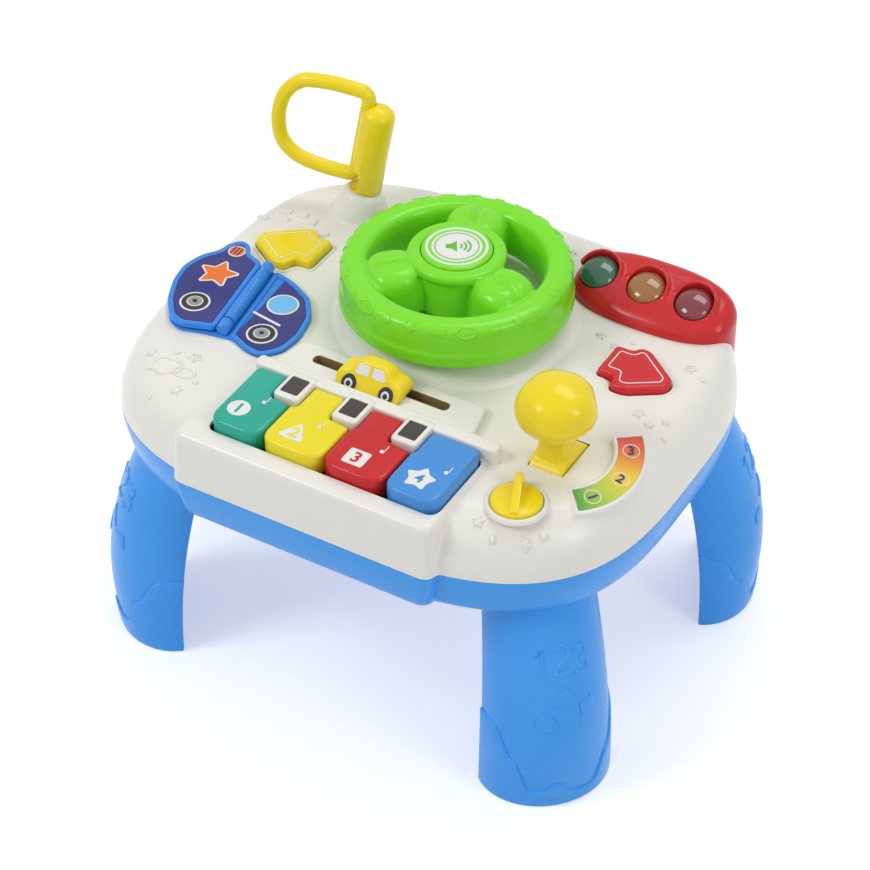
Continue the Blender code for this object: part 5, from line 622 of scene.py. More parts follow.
deck_pictures = []
for x, y, size, turn in ((0.1260, 0.0045, 0.0042, 80), (0.1350, -0.0010, 0.0034, 110), (0.1405, 0.0060, 0.0026, 95),
                         (0.1330, 0.0520, 0.0040, 75), (0.0780, 0.0530, 0.0036, 100), (0.0880, 0.0485, 0.0028, 85),
                         (-0.1020, -0.0745, 0.0046, 70), (-0.1265, -0.0805, 0.0034, 100),
                         (-0.0960, -0.1010, 0.0036, 92), (-0.1400, 0.0530, 0.0030, 84), (0.1180, -0.1040, 0.0032, 78),
                         (0.0930, -0.1080, 0.0036, 104), (-0.0560, 0.1030, 0.0036, 96), (0.0280, 0.1120, 0.0036, 80)):
    deck_pictures.append(relief("star", star_outline(x, y, size, turn=turn), on_deck))
for x, y, size in ((0.0770, 0.0157, 0.0021), (0.1030, -0.1110, 0.0016), (0.1240, -0.0965, 0.0018),
                   (0.1450, -0.0040, 0.0015), (-0.1130, -0.0760, 0.0017), (-0.1210, -0.0900, 0.0021),
                   (-0.0900, -0.0920, 0.0016), (-0.1100, -0.1060, 0.0016), (-0.1480, 0.0590, 0.0016),
                   (-0.1010, 0.0570, 0.0018), (0.1420, 0.0480, 0.0016), (-0.0330, 0.1130, 0.0018),
                   (0.0060, 0.1180, 0.0016), (0.0960, 0.0560, 0.0015)):
    deck_pictures.append(relief("dot", circle(size, (x, y), 20), on_deck, 0.0012, 0.0008))
for x, y, wide, high, turn in ((-0.1330, 0.0640, 0.0075, 0.0052, 8), (-0.1225, 0.0660, 0.0062, 0.0050, 8),
                               (-0.1140, 0.0630, 0.0050, 0.0062, 8), (-0.1290, 0.0575, 0.0052, 0.0040, 8)):
    deck_pictures.append(relief("tile", tile_outline(x, y, wide, high, turn), on_deck))
for x, y, size, turn in ((-0.1120, -0.0870, 0.0082, 20), (-0.1000, -0.0880, 0.0055, -10)):
    deck_pictures.append(raised_line("cloud", cloud_outline(x, y, size, turn), on_deck, 0.0015, 0.0010, True))
decoration = joined("deck_decoration", deck_pictures, 50)
dress(decoration, shell_white, "table", "white_shell")
print("raised pictures:", len(deck_pictures))

# %% [markdown]
# ## The blue base
# The base closes the deck from below. It tapers to its floor in a soft curve, so it is a loft of
# the same outline. Its underside has the deep holes of six screws, the holes in front of the
# loudspeaker and the opening of the battery door.

# %% Base
taper = ((1.0, 0.0), (0.9, 0.02), (0.8, 0.05), (0.62, 0.18), (0.45, 0.32), (0.31, 0.47), (0.16, 0.62), (0.04, 0.80),
         (0.0, 0.96), (0.0, 1.0))
levels = [(0.0045 * share, FLOOR + (SEAM_BOTTOM - FLOOR) * rise) for share, rise in taper]
base = loft("base", [table_ring(inset, height) for inset, height in levels], 30)
front_corners = box_outline(-0.080, 0.080, -0.1345, -0.057)
front = loft("base_front", [[(point.x, point.y, height) for point in
                             rounded(moved_in(front_corners, inset), 0.008, 8)] for inset, height in levels], 30)
merge = base.modifiers.new("merge", "BOOLEAN")
merge.operation, merge.solver, merge.object = "UNION", "MANIFOLD", front
settle(base)
bpy.data.objects.remove(front, do_unlink=True)

screw_spots = [(across * HALF_WIDTH, along * HALF_DEPTH) for across, along in
               ((-.28, -.905), (.28, -.905), (-.895, .10), (.895, .10), (-.28, .90), (.28, .90))]
cutters = [turned("screw_well", [(0.0033, 0.12), (0.0033, FLOOR + 0.006)], spot, 32) for spot in screw_spots]
speaker_spot = (-0.0650, 0.0450)
cutters.append(turned("sound_hole", [(0.0021, 0.12), (0.0021, FLOOR + 0.006)], speaker_spot, 24))
for ring_radius, holes in ((0.0062, 6), (0.0125, 12), (0.0188, 18)):
    for step in range(holes):
        turn = 2 * math.pi * step / holes
        spot = (speaker_spot[0] + ring_radius * math.cos(turn), speaker_spot[1] + ring_radius * math.sin(turn))
        cutters.append(turned("sound_hole", [(0.0015, 0.12), (0.0015, FLOOR + 0.006)], spot, 20))
door_low, door_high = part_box("battery_door")
cutters.append(brick("door_opening", (door_low.x - 0.0003, door_low.y - 0.0003, 0.12),
                     (door_high.x + 0.0003, door_high.y + 0.0003, door_high.z + 0.0002)))
carved(base, cutters, crease=30)
dress(base, base_blue, "table", "blue_shell", "base_shell")
print("base:", len(base.data.polygons), "faces")

# %% [markdown]
# ## The legs
# Each leg is half a tube, open towards the middle of the table. It leans outwards in a curve and
# has a boot with a wavy upper edge. The shape has a formula: for a height and an angle across the
# leg it gives one point. Asking it for many points gives a smooth skin, with the boot's step put
# exactly on the wave.

# %% Formula of a leg
LEG_TOP, BOOT = 0.1317, 0.0520
WAVE = ((-1, 1), (-.80, .90), (-.55, .52), (-.30, .16), (-.10, .19), (.08, .36), (.22, .24), (.34, .24), (.52, .62),
        (.75, .97), (1, 1))


def leg_point(side_x, side_y, height, degrees, inset, push=0.0):
    spread, angle = ((0.1220, 0.0840), 41.3) if side_y < 0 else ((0.1315, 0.0900), 27.0)
    angle = math.radians(angle)
    outward = Vector((side_x * math.cos(angle), side_y * math.sin(angle)))
    sideways = Vector((-outward.y, outward.x))
    share = min(max(height / LEG_TOP, 0.0), 1.0)
    middle = Vector((side_x * spread[0], side_y * spread[1])) - outward * 0.022 * share ** 2.1
    half = 0.0365 + (0.0300 - 0.0365) * share ** 1.5 - inset
    reach = 0.0312 + (0.0310 - 0.0312) * share + 0.006 * math.sin(math.pi * share) - inset
    turn = math.radians(degrees)
    spot = middle + sideways * half * math.sin(turn) + outward * (reach * math.cos(turn) - push)
    return Vector((spot.x, spot.y, height))


def boot_edge(share):
    for (left, low), (right, high) in zip(WAVE, WAVE[1:]):
        if left <= share <= right:
            return BOOT * (low + (high - low) * (1 - math.cos(math.pi * (share - left) / (right - left))) / 2)
    return BOOT


# %% Skin of a leg
def leg_piece(name, side_x, side_y):
    turns = [-90 + 3 * step for step in range(61)]
    twist = side_x * side_y

    def row(height_at, outer, inner):
        ring = [leg_point(side_x, side_y, height_at(twist * turn / 90), turn, outer) for turn in turns]
        for degrees, order in ((90, (0.15, 0.5, 0.85)), (-90, (0.85, 0.5, 0.15))):
            height = height_at(twist * degrees / 90)
            roll = [leg_point(side_x, side_y, height, degrees, outer + (inner - outer) * share,
                              0.0009 * math.sin(math.pi * share)) for share in order]
            if degrees > 0:
                ring += roll
                ring += [leg_point(side_x, side_y, height_at(twist * turn / 90), turn, inner)
                         for turn in reversed(turns)]
            else:
                ring += roll
        return ring

    rows = [row(lambda share: 0.0, -0.0004, 0.0026), row(lambda share: 0.0005, -0.0009, 0.0026)]
    rows += [row(lambda share, part=part: 0.0012 + (boot_edge(share) - 0.0022) * part, -0.0010, 0.0026)
             for part in (0.0, 0.2, 0.4, 0.6, 0.8, 1.0)]
    rows += [row(lambda share: boot_edge(share) - 0.0004, -0.0008, 0.0026),
             row(lambda share: boot_edge(share) + 0.0001, -0.0003, 0.0026),
             row(lambda share: boot_edge(share) + 0.0003, 0.0001, 0.0026),
             row(lambda share: boot_edge(share) + 0.0010, 0.0, 0.0026)]
    for step in range(1, 21):
        part = step / 20
        wall = 0.0026 if part < 0.8 else 0.0026 + (0.0065 - 0.0026) * (part - 0.8) / 0.2
        rows.append(row(lambda share, part=part: boot_edge(share) + 0.001
                        + (LEG_TOP - boot_edge(share) - 0.001) * part, 0.0, wall))
    rows.append(row(lambda share: LEG_TOP, 0.0030, 0.0065))
    rows.append(row(lambda share: 0.1450, 0.0030, 0.0065))
    return loft(name, rows, 42)


legs = {}
for name, side_x, side_y in (("leg_front_left", -1, -1), ("leg_front_right", 1, -1), ("leg_back_left", -1, 1),
                             ("leg_back_right", 1, 1)):
    legs[name] = leg_piece("blue_" + name, side_x, side_y)
    dress(legs[name], base_blue, "table", "blue_shell", name)
print("legs:", len(legs), "with", len(legs["leg_front_left"].data.polygons), "faces each")


# %% Raised numbers and shapes on the legs
def on_leg(side_x, side_y):
    """Laying rule: u runs across the leg from its middle line, v is the height."""
    def lay(u, v, rise):
        share = u / 0.0573
        boot = 0.0010 if v < boot_edge(max(-1.0, min(1.0, side_x * side_y * share))) else 0.0
        return leg_point(side_x, side_y, v, share * 90, -rise - boot)
    return lay


def digit_path(digit, u, v, size):
    shapes = {1: ((-.20, .28), (.06, .50), (.06, -.50)),
              2: ((-.30, .28), (-.16, .47), (.10, .50), (.30, .32), (.24, .06), (-.32, -.50), (.34, -.50)),
              3: ((-.28, .40), (-.02, .50), (.26, .36), (.20, .10), (-.04, .02), (.28, -.14), (.24, -.42),
                  (-.04, -.50), (-.32, -.38))}
    points = [Vector((u + x * size, v + y * size)) for x, y in shapes[digit]]
    if digit == 1:
        return points
    soft = []
    for here in range(len(points) - 1):
        a = points[max(here - 1, 0)]
        b, c = points[here], points[here + 1]
        d = points[min(here + 2, len(points) - 1)]
        for step in range(5):
            t = step / 5
            soft.append(0.5 * ((2 * b) + (c - a) * t + (2 * a - 5 * b + 4 * c - d) * t * t
                               + (3 * b - a - 3 * c + d) * t ** 3))
    return soft + [points[-1]]


def leg_pictures(side_x, side_y, flip):
    lay = on_leg(side_x, side_y)
    made = [raised_line("digit", digit_path(digit, flip * u, v, 0.0150), lay, 0.0026, 0.0009)
            for digit, u, v in ((1, -0.0130, 0.0985), (2, -0.0005, 0.1010), (3, 0.0120, 0.0980))]
    made.append(relief("triangle", rounded([Vector((flip * 0.0000 + x, 0.0800 + y)) for x, y in
                                            ((-.0075, -.0062), (.0075, -.0062), (.0, .0068))], 0.0016, 4), lay, .0008))
    made.append(relief("disc", circle(0.0058, (flip * -0.0120, 0.0640), 36), lay, 0.0008))
    made.append(relief("square", tile_outline(flip * 0.0135, 0.0690, 0.0098, 0.0098, 10), lay, 0.0008))
    return made


def petals(u, v, size, count=6):
    return [Vector((u + size * (0.72 + 0.28 * math.cos(count * math.radians(angle))) * math.cos(math.radians(angle)),
                    v + size * (0.72 + 0.28 * math.cos(count * math.radians(angle))) * math.sin(math.radians(angle))))
            for angle in range(0, 360, 6)]


for name, side_x, side_y in (("leg_front_left", -1, -1), ("leg_front_right", 1, -1), ("leg_back_left", -1, 1),
                             ("leg_back_right", 1, 1)):
    pictures = leg_pictures(side_x, side_y, 1)
    if side_x < 0:
        lay = on_leg(side_x, side_y)
        pictures.append(relief("flower", petals(-0.0200, 0.0850, 0.0068), lay, 0.0008))
    figures = joined(f"pictures_{name}", pictures, 50)
    dress(figures, base_blue, "table", "blue_shell")
print("legs decorated")

# %% [markdown]
# ## Steering wheel
# The wheel is one lime moulding: a hollow rim, three soft spokes like cushions and a stepped hub.
# The rim and hub are turned profiles and the spokes are lofts. Melting them gives the fillets
# where they meet, and a groove is then pressed along the middle of each spoke.

# %% Rim, spokes and hub
rim_outside = [(.0557, .2250), (.0575, .22497), (.0592, .2247), (.0612, .2238), (.0626, .2222), (.0633, .2200),
               (.0636, .2170), (.0637, .2100), (.0638, .2088), (.0643, .2080), (.0646, .2070), (.0646, .2008)]
rim_inside = [(.0640, .2000), (.0478, .2000), (.0468, .2008), (.0470, .2100), (.0475, .2170), (.0482, .2205),
              (.0494, .2230), (.0512, .2245), (.0535, .22495)]
rim = band_loop("rim", [(circle(radius, (0.0, WHEEL_Y), 144), height) for radius, height in rim_outside + rim_inside])
spokes = []
for direction in (104, 224, 344):
    way = Vector((math.cos(math.radians(direction)), math.sin(math.radians(direction))))
    side = Vector((-way.y, way.x))
    middle = Vector((0.0, WHEEL_Y)) + way * 0.0352
    outline = rounded([middle + way * a * 0.015 + side * b * 0.01675 for a, b in ((-1, -1), (1, -1), (1, 1), (-1, 1))],
                      0.0148, 10)
    dome = ((0.0, 0.0), (0.0, 0.62), (.02, .72), (.06, .80), (.12, .87), (.20, .92), (.30, .96), (.42, .985),
            (.66, 1.0))
    spokes.append(loft("spoke", [[(point.x, point.y, 0.2020 + 0.0272 * rise) for point in
                                  [middle + (point - middle) * (1 - inset) for point in outline]]
                                 for inset, rise in dome]))
hub = turned("hub", [(0.0, .2312), (.0252, .2312), (.0262, .2308), (.0269, .2300), (.0272, .2288), (.0272, .2268),
                     (.0266, .2260), (.0250, .2252), (.0246, .2240), (.0246, .2020), (0.0, .2020)], (0.0, WHEEL_Y))
wheel = melted("wheel", [rim, hub] + spokes, 0.0008, 3)
for corner in wheel.data.vertices:
    for direction in (104, 224, 344):
        way = Vector((math.cos(math.radians(direction)), math.sin(math.radians(direction)), 0.0))
        out = corner.co - Vector((0.0, WHEEL_Y, 0.0))
        along, across = out.dot(way), abs(out.x * way.y - out.y * way.x)
        if 0.0275 < along < 0.0505 and corner.co.z > 0.2165:
            fade = min((along - 0.0275) / 0.004, (0.0505 - along) / 0.006, 1.0)
            corner.co.z -= 0.0022 * fade * math.exp(-(across / 0.0019) ** 2)
carved(wheel, [turned("horn_well", [(.0201, .2284), (.0201, .2330)], (0.0, WHEEL_Y), 96)])
dress(wheel, wheel_lime, "wheel", "green_wheel", "steering_wheel")
shaft = turned("wheel_shaft", [(.0070, .1848), (.0070, .2040)], (0.0, WHEEL_Y), 48)
dress(shaft, wheel_lime, "wheel", "green_wheel")
print("wheel:", len(wheel.data.polygons), "faces")


# %% Raised pictures on the rim
PICTURE_CIRCLE = 0.0600
PICTURE_RISE = 0.0006


def on_rim(u, v, rise):
    """u runs round the rim, v from its crown down the outside."""
    left = v
    for (r0, z0), (r1, z1) in zip(rim_outside, rim_outside[1:]):
        length = math.hypot(r1 - r0, z1 - z0)
        if left <= length:
            break
        left -= length
    share = min(max(left / length, -1.0), 1.0)
    radius, height = r0 + (r1 - r0) * share, z0 + (z1 - z0) * share
    radius += -(z1 - z0) / length * rise
    height += (r1 - r0) / length * rise
    turn = u / PICTURE_CIRCLE
    return Vector((radius * math.cos(turn), WHEEL_Y + radius * math.sin(turn), height))


PICTURE_COUNT = 26
PICTURE_DROP = 0.0075
pictures = []
random.seed(12)
for step in range(PICTURE_COUNT):
    u = 2 * math.pi * PICTURE_CIRCLE * step / PICTURE_COUNT
    kind = step % 4
    if kind == 0:
        star = star_outline(u, 0.0072, 0.0048, turn=random.uniform(60, 120))
        pictures.append(relief("rim_star", star, on_rim, PICTURE_RISE))
    elif kind == 1:
        tile = tile_outline(u, PICTURE_DROP, 0.0085, 0.0052, random.uniform(-20, 20))
        pictures.append(relief("rim_tile", tile, on_rim, PICTURE_RISE))
    elif kind == 2:
        pictures.append(raised_line("rim_cloud", cloud_outline(u, PICTURE_DROP, 0.0046), on_rim, 0.0016, PICTURE_RISE,
                                    True))
    else:
        pictures.append(relief("rim_dot", circle(0.0030, (u, 0.0072), 24), on_rim, PICTURE_RISE))
rim_pictures = joined("rim_pictures", pictures, 50)
dress(rim_pictures, wheel_lime, "wheel", "green_wheel")

# %% [markdown]
# ## Horn button and printing
# Printing is a film of ink, so each printed shape is a plate a tenth of a millimetre thick that
# lies on its piece. Thin plates follow the piece when it moves, and unlike a painted texture
# they keep a clean edge at any size. The picture on the horn is a plain loudspeaker sign.

# %% Inks and thin plates
ink_white = plastic("white ink", (0.80, 0.80, 0.77), 0.38, 0.03, 0.05)
ink_green = plastic("green ink", (0.110, 0.520, 0.010), 0.38, 0.05, 0.05)
ink_navy = plastic("navy ink", (0.010, 0.014, 0.130), 0.38, 0.05, 0.05)
ink_black = plastic("black ink", (0.008, 0.008, 0.010), 0.38, 0.10, 0.05)
ink_grey = plastic("grey ink", (0.300, 0.310, 0.330), 0.38, 0.05, 0.05)
ink_orange = plastic("orange ink", (0.860, 0.170, 0.012), 0.38, 0.05, 0.05)
ink_sky = plastic("sky ink", (0.160, 0.500, 0.860), 0.38, 0.05, 0.05)


def film(name, outline, height, finish, body, slot, thick=0.00012, matrix=None):
    made = plate(name, outline, height - thick, height + thick, matrix=matrix)
    return dress(made, finish, body, slot)


def film_ring(name, outer, inner, height, finish, body, slot, thick=0.00012, matrix=None):
    rings = [(outer, height - thick), (outer, height + thick), (inner, height + thick), (inner, height - thick)]
    return dress(band_loop(name, rings, 40, matrix), finish, body, slot)


horn = turned("horn", [(0.0, .2330), (.0150, .2330), (.0174, .23295), (.0188, .2325), (.0195, .2316), (.0196, .2300),
                       (.0196, .2288), (.0050, .2288), (.0050, .2248), (0.0, .2248)], (0.0, WHEEL_Y))
dress(horn, wheel_lime, "horn", "green_wheel", "horn_button")
at_horn = (0.0, WHEEL_Y)
film_ring("horn_ring", circle(.0172, at_horn, 72), circle(.0156, at_horn, 72), .2331, ink_white, "horn", "inner_white")
film("horn_disc", circle(.0138, at_horn, 72), .2331, ink_white, "horn", "inner_white")
film_ring("horn_line", circle(.0122, at_horn, 72), circle(.0117, at_horn, 72), .2333, ink_green, "horn", "green_wheel")
turn = Matrix.Translation((0.0, WHEEL_Y, 0.0)) @ Matrix.Rotation(math.radians(30), 4, "Z")
film("horn_sign", [Vector(spot) for spot in ((-.0060, -.0018), (-.0034, -.0018), (.0000, -.0048), (.0000, .0048),
                                             (-.0034, .0018), (-.0060, .0018))], .2333, ink_green, "horn",
     "green_wheel", matrix=turn)
for radius in (.0032, .0056, .0080):
    arc = [math.radians(angle) for angle in range(-42, 43, 6)]
    outline = [Vector((radius * math.cos(a), radius * math.sin(a))) for a in arc]
    outline += [Vector(((radius - .0010) * math.cos(a), (radius - .0010) * math.sin(a))) for a in reversed(arc)]
    film(f"horn_wave_{round(radius * 10000)}", outline, .2333, ink_green, "horn", "green_wheel", matrix=turn)

# %% [markdown]
# ## Piano keys
# Four keys fill the opening. The outline of each one has notches for the frames of the black keys,
# and its upper edge is rolled. Each key shows its number on a white sign of another shape.

# %% Keys
KEY_EDGES = (-.0635, -.0315, .0055, .0425, .0745)
KEY_TINTS = (("teal", (.010, .400, .290)), ("yellow", (.860, .720, .008)), ("red", (.580, .006, .010)),
             ("blue", (.050, .275, .710)))


def key_outline(left, right):
    left, right = left + .0004, right - .0004
    spots, corners = [(left, -.1205), (right, -.1205)], [.0095, .0095]
    back_left, back_right = left, right
    for x in (-.036, 0.0, .036):
        if left < x - .00775 < right:
            back_right = x - .00855
            spots += [(right, -.0899), (back_right, -.0885)]
            corners += [.0022, .0022]
        if left < x + .00775 < right:
            back_left = x + .00855
    spots.append((back_right, -.0706))
    corners.append(.003 if back_right < right else .006)
    spots.append((back_left, -.0706))
    corners.append(.003)
    if back_left > left:
        spots += [(back_left, -.0885), (left, -.0899)]
        corners += [.0022, .0022]
    return rounded([Vector(spot) for spot in spots], corners, 6)


for number, (tint_name, tint) in enumerate(KEY_TINTS, 1):
    outline = key_outline(KEY_EDGES[number - 1], KEY_EDGES[number])
    key = plate(f"key_{tint_name}", outline, .1823, .1953, .0021, rolls=6)
    finish = plastic(f"{tint_name} key plastic", tint, 0.15, 0.05, 0.07)
    dress(key, finish, f"key_{number}", f"{tint_name}_key", f"piano_key_{number}")


# %% Numbers on signs
def numeral(name, sign, size, spot, turn, finish, body, slot, tilt=None):
    words = bpy.data.curves.new(name, "FONT")
    words.body = sign
    words.size = size
    words.align_x, words.align_y = "CENTER", "CENTER"
    words.extrude = 0.0001
    words.offset = size * 0.018
    holder = bpy.data.objects.new(name + "_words", words)
    bpy.context.scene.collection.objects.link(holder)
    bpy.context.view_layer.update()
    mesh = bpy.data.meshes.new_from_object(holder.evaluated_get(bpy.context.evaluated_depsgraph_get()))
    bpy.data.objects.remove(holder, do_unlink=True)
    place = Matrix.Translation(spot) @ Matrix.Rotation(math.radians(turn), 4, "Z")
    mesh.transform((tilt or Matrix()) @ place)
    piece = bpy.data.objects.new(name, mesh)
    bpy.context.scene.collection.objects.link(piece)
    return dress(piece, finish, body, slot)


KEY_SIGNS = ((-.0526, -.1060), (-.0168, -.1080), (.0213, -.1088), (.0575, -.1064))
for number, (x, y) in enumerate(KEY_SIGNS, 1):
    shapes = {1: circle(.0062, (x, y), 48), 3: tile_outline(x, y, .0122, .0118, 0, .0014),
              2: rounded([Vector((x - .0080, y - .0056)), Vector((x + .0080, y - .0056)), Vector((x, y + .0086))],
                         .0034, 8),
              4: star_outline(x, y, .0092, depth=.60, corner=.0016)}
    tint_name = KEY_TINTS[number - 1][0]
    film(f"key_sign_{number}", shapes[number], .1954, ink_white, f"key_{number}", "inner_white")
    numeral(f"key_number_{number}", str(number), .0108 if number != 4 else .0090, (x, y - .0004, .1956), 0,
            bpy.data.materials[f"{tint_name} key plastic"], f"key_{number}", f"{tint_name}_key")
    note = Vector((x + .0090 if number < 4 else x + .0096, y + .0105))
    film(f"key_note_{number}", circle(.0013, note, 20), .1954, ink_white, f"key_{number}", "inner_white")
    film(f"key_note_stem_{number}", box_outline(note.x + .0008, note.x + .0013, note.y, note.y + .0052), .1954,
         ink_white, f"key_{number}", "inner_white")
print("keys and signs made")

# %% [markdown]
# ## Sliding car
# The little car is a loft of its side view, pushed along its width. Its two windows and its
# wheels are set on the side that faces the child.

# %% Car
CAR_SIDE = ((-.46, 0), (-.50, .20), (-.485, .42), (-.42, .56), (-.30, .64), (-.20, .90), (-.11, 1), (.12, 1),
            (.24, .88), (.33, .62), (.455, .52), (.50, .30), (.48, 0))
side_view = rounded([Vector((across, up * 0.37)) for across, up in reversed(CAR_SIDE)], 0.045, 4)
car_front, car_depth, car_middle = -.0465 - .0190 * .72, .0190, -.0035


def on_car(across, up, depth):
    lean = (.0092 * (1 - depth) - .0030 * depth) * up
    return Vector((car_middle + across * .0405, car_front + car_depth * depth + lean, .1918 + up * .0150))


rings = []
for depth, shrink in ((0.0, 0.07), (0.015, 0.035), (0.05, 0.012), (0.10, 0.0), (0.90, 0.0), (0.95, 0.012),
                      (0.985, 0.035), (1.0, 0.07)):
    rings.append([on_car(point.x * (1 - shrink), point.y / 0.37 * (1 - shrink), depth) for point in side_view])
car = melted("car", [loft("car_body", rings)], 0.0006, 3)
neck = brick("car_neck", (-.0080, -.0494, .1825), (.0040, -.0436, .1935))
dress(car, bright_yellow, "slider", "yellow_plastic", "slider_car")
dress(neck, bright_yellow, "slider", "yellow_plastic")


def car_film(name, outline, finish, slot, proud=0.0):
    """A thin shape on the car's leaning side."""
    front = [on_car(point.x, point.y, 0.0) + Vector((0, -.00025 - proud, .0001)) for point in outline]
    back = [on_car(point.x, point.y, 0.0) + Vector((0, .0006, 0)) for point in outline]
    return dress(loft(name, [back, front], 40), finish, "slider", slot)


for side, (x0, x1) in enumerate(((-.185, -.02), (.03, .185))):
    window = rounded([Vector((x0 - (.05 if side == 0 else 0), .56)), Vector((x1 + (.05 if side else 0), .56)),
                      Vector((x1, .88)), Vector((x0, .88))], .04, 5)
    car_film(f"car_window_{side}", window, ink_white, "inner_white")
for number, x in enumerate((-.27, .29)):
    for name, size, finish, slot_name, proud in (("tyre", .105, ink_black, "dark_inlay", .0006),
                                                 ("hub_ring", .060, ink_white, "inner_white", .0008),
                                                 ("hub_cap", .034, ink_black, "dark_inlay", .0010)):
        spots = [Vector((x + size * math.cos(a / 12 * math.pi), .22 + size * 2.5 * math.sin(a / 12 * math.pi)))
                 for a in range(24)]
        car_film(f"car_{name}_{number}", spots, finish, slot_name, proud)

# %% [markdown]
# ## Traffic lights
# The red housing is a dome with a sloping top. Three hoods stand round the backs of its lenses.
# The lenses are tinted clear plastic, which shows a bright window reflection and a dark body.

# %% Housing
LIGHTS = (.0908, .0910)


def slope_height(y, rise):
    return DECK + .0160 * rise * (1 + .46 * (y - LIGHTS[1]) / .0232)


rings = []
for share, rise in ((0.0, -1.2), (0.0, .30), (.012, .42), (.05, .56), (.10, .68), (.17, .785), (.25, .87), (.34, .925),
                    (.43, .96), (.53, .985), (.62, 1.0), (.80, 1.0)):
    shrink = .0232 * share
    outline = superellipse(.0480 - shrink, .0232 - shrink, .0232 - shrink, 2.5, 120, LIGHTS)
    rings.append([(point.x, point.y, slope_height(point.y, rise) if rise > 0 else .1690) for point in outline])
slope_axes = [Matrix.Translation((LIGHTS[0] - .0038 + step * .0290, LIGHTS[1] - .0035,
                                  slope_height(LIGHTS[1] - .0035, 1.0)))
              @ Matrix.Rotation(math.atan(.46 * .0160 / .0232), 4, "X") for step in (-1, 0, 1)]
housing_parts = [loft("housing_dome", rings)]
for axes in slope_axes:
    rings = []
    for step in range(41):
        share = step / 40
        angle = math.radians(78 - 95 + 190 * share)
        top = .0042 * math.sin(math.pi * min(max(share, .04), .96)) ** 0.6
        section = ((.0109, -.003), (.0132, -.003), (.0132, top * .70), (.0126, top * .92), (.0118, top),
                   (.0111, top * .85))
        rings.append([axes @ Vector((radius * math.cos(angle), radius * math.sin(angle), height))
                      for radius, height in section])
    housing_parts.append(loft("hood", rings))
housing = melted("light_housing", housing_parts, 0.0007, 2)
carved(housing, [turned("lens_hole", [(.0112, -.0080), (.0112, .0070)], steps=64, matrix=axes) for axes in slope_axes])
dress(housing, signal_red, "table", "red_plastic", "traffic_light_housing")


# %% Lenses
def lens_finish(name, colour):
    finish = plastic(name, colour, 0.07, 0.10, 0.04, 0.03)
    shader = finish.node_tree.nodes["Principled BSDF"]
    shader.inputs["Specular IOR Level"].default_value = 0.5
    shader.inputs["Coat Weight"].default_value = 0.35
    shader.inputs["Coat Roughness"].default_value = 0.04
    return finish


LENS_TINTS = (("green", (.006, .105, .050)), ("amber", (.330, .120, .010)), ("red", (.200, .003, .012)))
for (name, tint), axes in zip(LENS_TINTS, slope_axes):
    dome = [(.0107 * math.sin(math.radians(a)), -.0014 + .0050 * math.cos(math.radians(a))) for a in range(0, 91, 6)]
    lens = turned(f"{name}_lens", dome + [(.0107, -.0060), (.0, -.0060)], steps=72, matrix=axes)
    dress(lens, lens_finish(f"{name} lens", tint), "table", f"{name}_lens", f"lens_{name}")
print("traffic lights made")

# %% [markdown]
# ## Arrow buttons, gear lever and switch
# The arrows are thick plates with rolled edges and a thin printed line. The gear knob is a pebble
# with five shallow grooves: its profile is turned round the stem, and the radius is waved a little with
# the angle and the height. The stem flows into the drum through a melt.

# %% Arrows
arrow_red = plastic("arrow red plastic", (.620, .006, .010), 0.17, 0.06, 0.06)
for side, finish, slot_name in (("left", bright_yellow, "yellow_plastic"), ("right", arrow_red, "red_plastic")):
    button = plate(f"arrow_{side}", arrow_outline(side), .1810, .1920, .0022, rolls=7)
    dress(button, finish, f"turn_{side}", slot_name, f"turn_button_{side}")
    line = arrow_outline(side, -.0042, .0020)
    film_ring(f"arrow_line_{side}", line, moved_in(line, .0006), .1921, ink_white, f"turn_{side}", "inner_white")

# %% Gear lever and knob
gear_lean = Matrix.Translation((GEAR_X, GEAR_Y, GEAR_PIVOT)) @ Matrix.Rotation(math.radians(5), 4, "X")
drum = bar("drum", .0205, (GEAR_X - .0098, GEAR_Y, GEAR_PIVOT), (GEAR_X + .0098, GEAR_Y, GEAR_PIVOT), 120)
stem = []
for width, height in ((.0176, .0150), (.0180, .0190), (.0170, .0225), (.0162, .0265), (.0160, .0380)):
    square = rounded(box_outline(-width / 2, width / 2, -width / 2, width / 2), .0042, 8)
    stem.append([gear_lean @ Vector((point.x, point.y, height)) for point in square])
lever = melted("lever", [drum, loft("stem", stem)], .0007, 3)
carved(lever, [brick("drum_floor", (.08, -.08, .14), (.13, -.01, .1800))])
dress(lever, bright_yellow, "gear", "yellow_plastic", "gear_lever")

KNOB = ((0.0, 1.0), (.12, .998), (.34, .975), (.52, .935), (.66, .89), (.78, .83), (.87, .75), (.945, .66), (.985, .56),
        (.995, .49), (.985, .41), (.95, .33), (.88, .25), (.79, .175), (.70, .12), (.60, .07), (.50, .03),
        (.36, 0.0), (0.0, 0.0))
rings = []
for radius, height in KNOB:
    ring = []
    for step in range(160):
        turn = 2 * math.pi * step / 160
        wave = 0.5 + 0.5 * math.sin(5 * turn + 2.8 * height)
        depth = 0.060 * math.sin(math.pi * min(max(height, 0.0), 1.0)) ** 0.8
        reach = .0218 * radius * (1 - depth * (1 - wave) ** 2)
        ring.append(gear_lean @ Vector((max(reach, .00002) * math.cos(turn), max(reach, .00002) * math.sin(turn),
                                        .0335 + .0320 * height)))
    rings.append(ring)
knob = loft("knob", rings, 60)
dress(knob, bright_yellow, "gear", "yellow_plastic", "gear_knob")

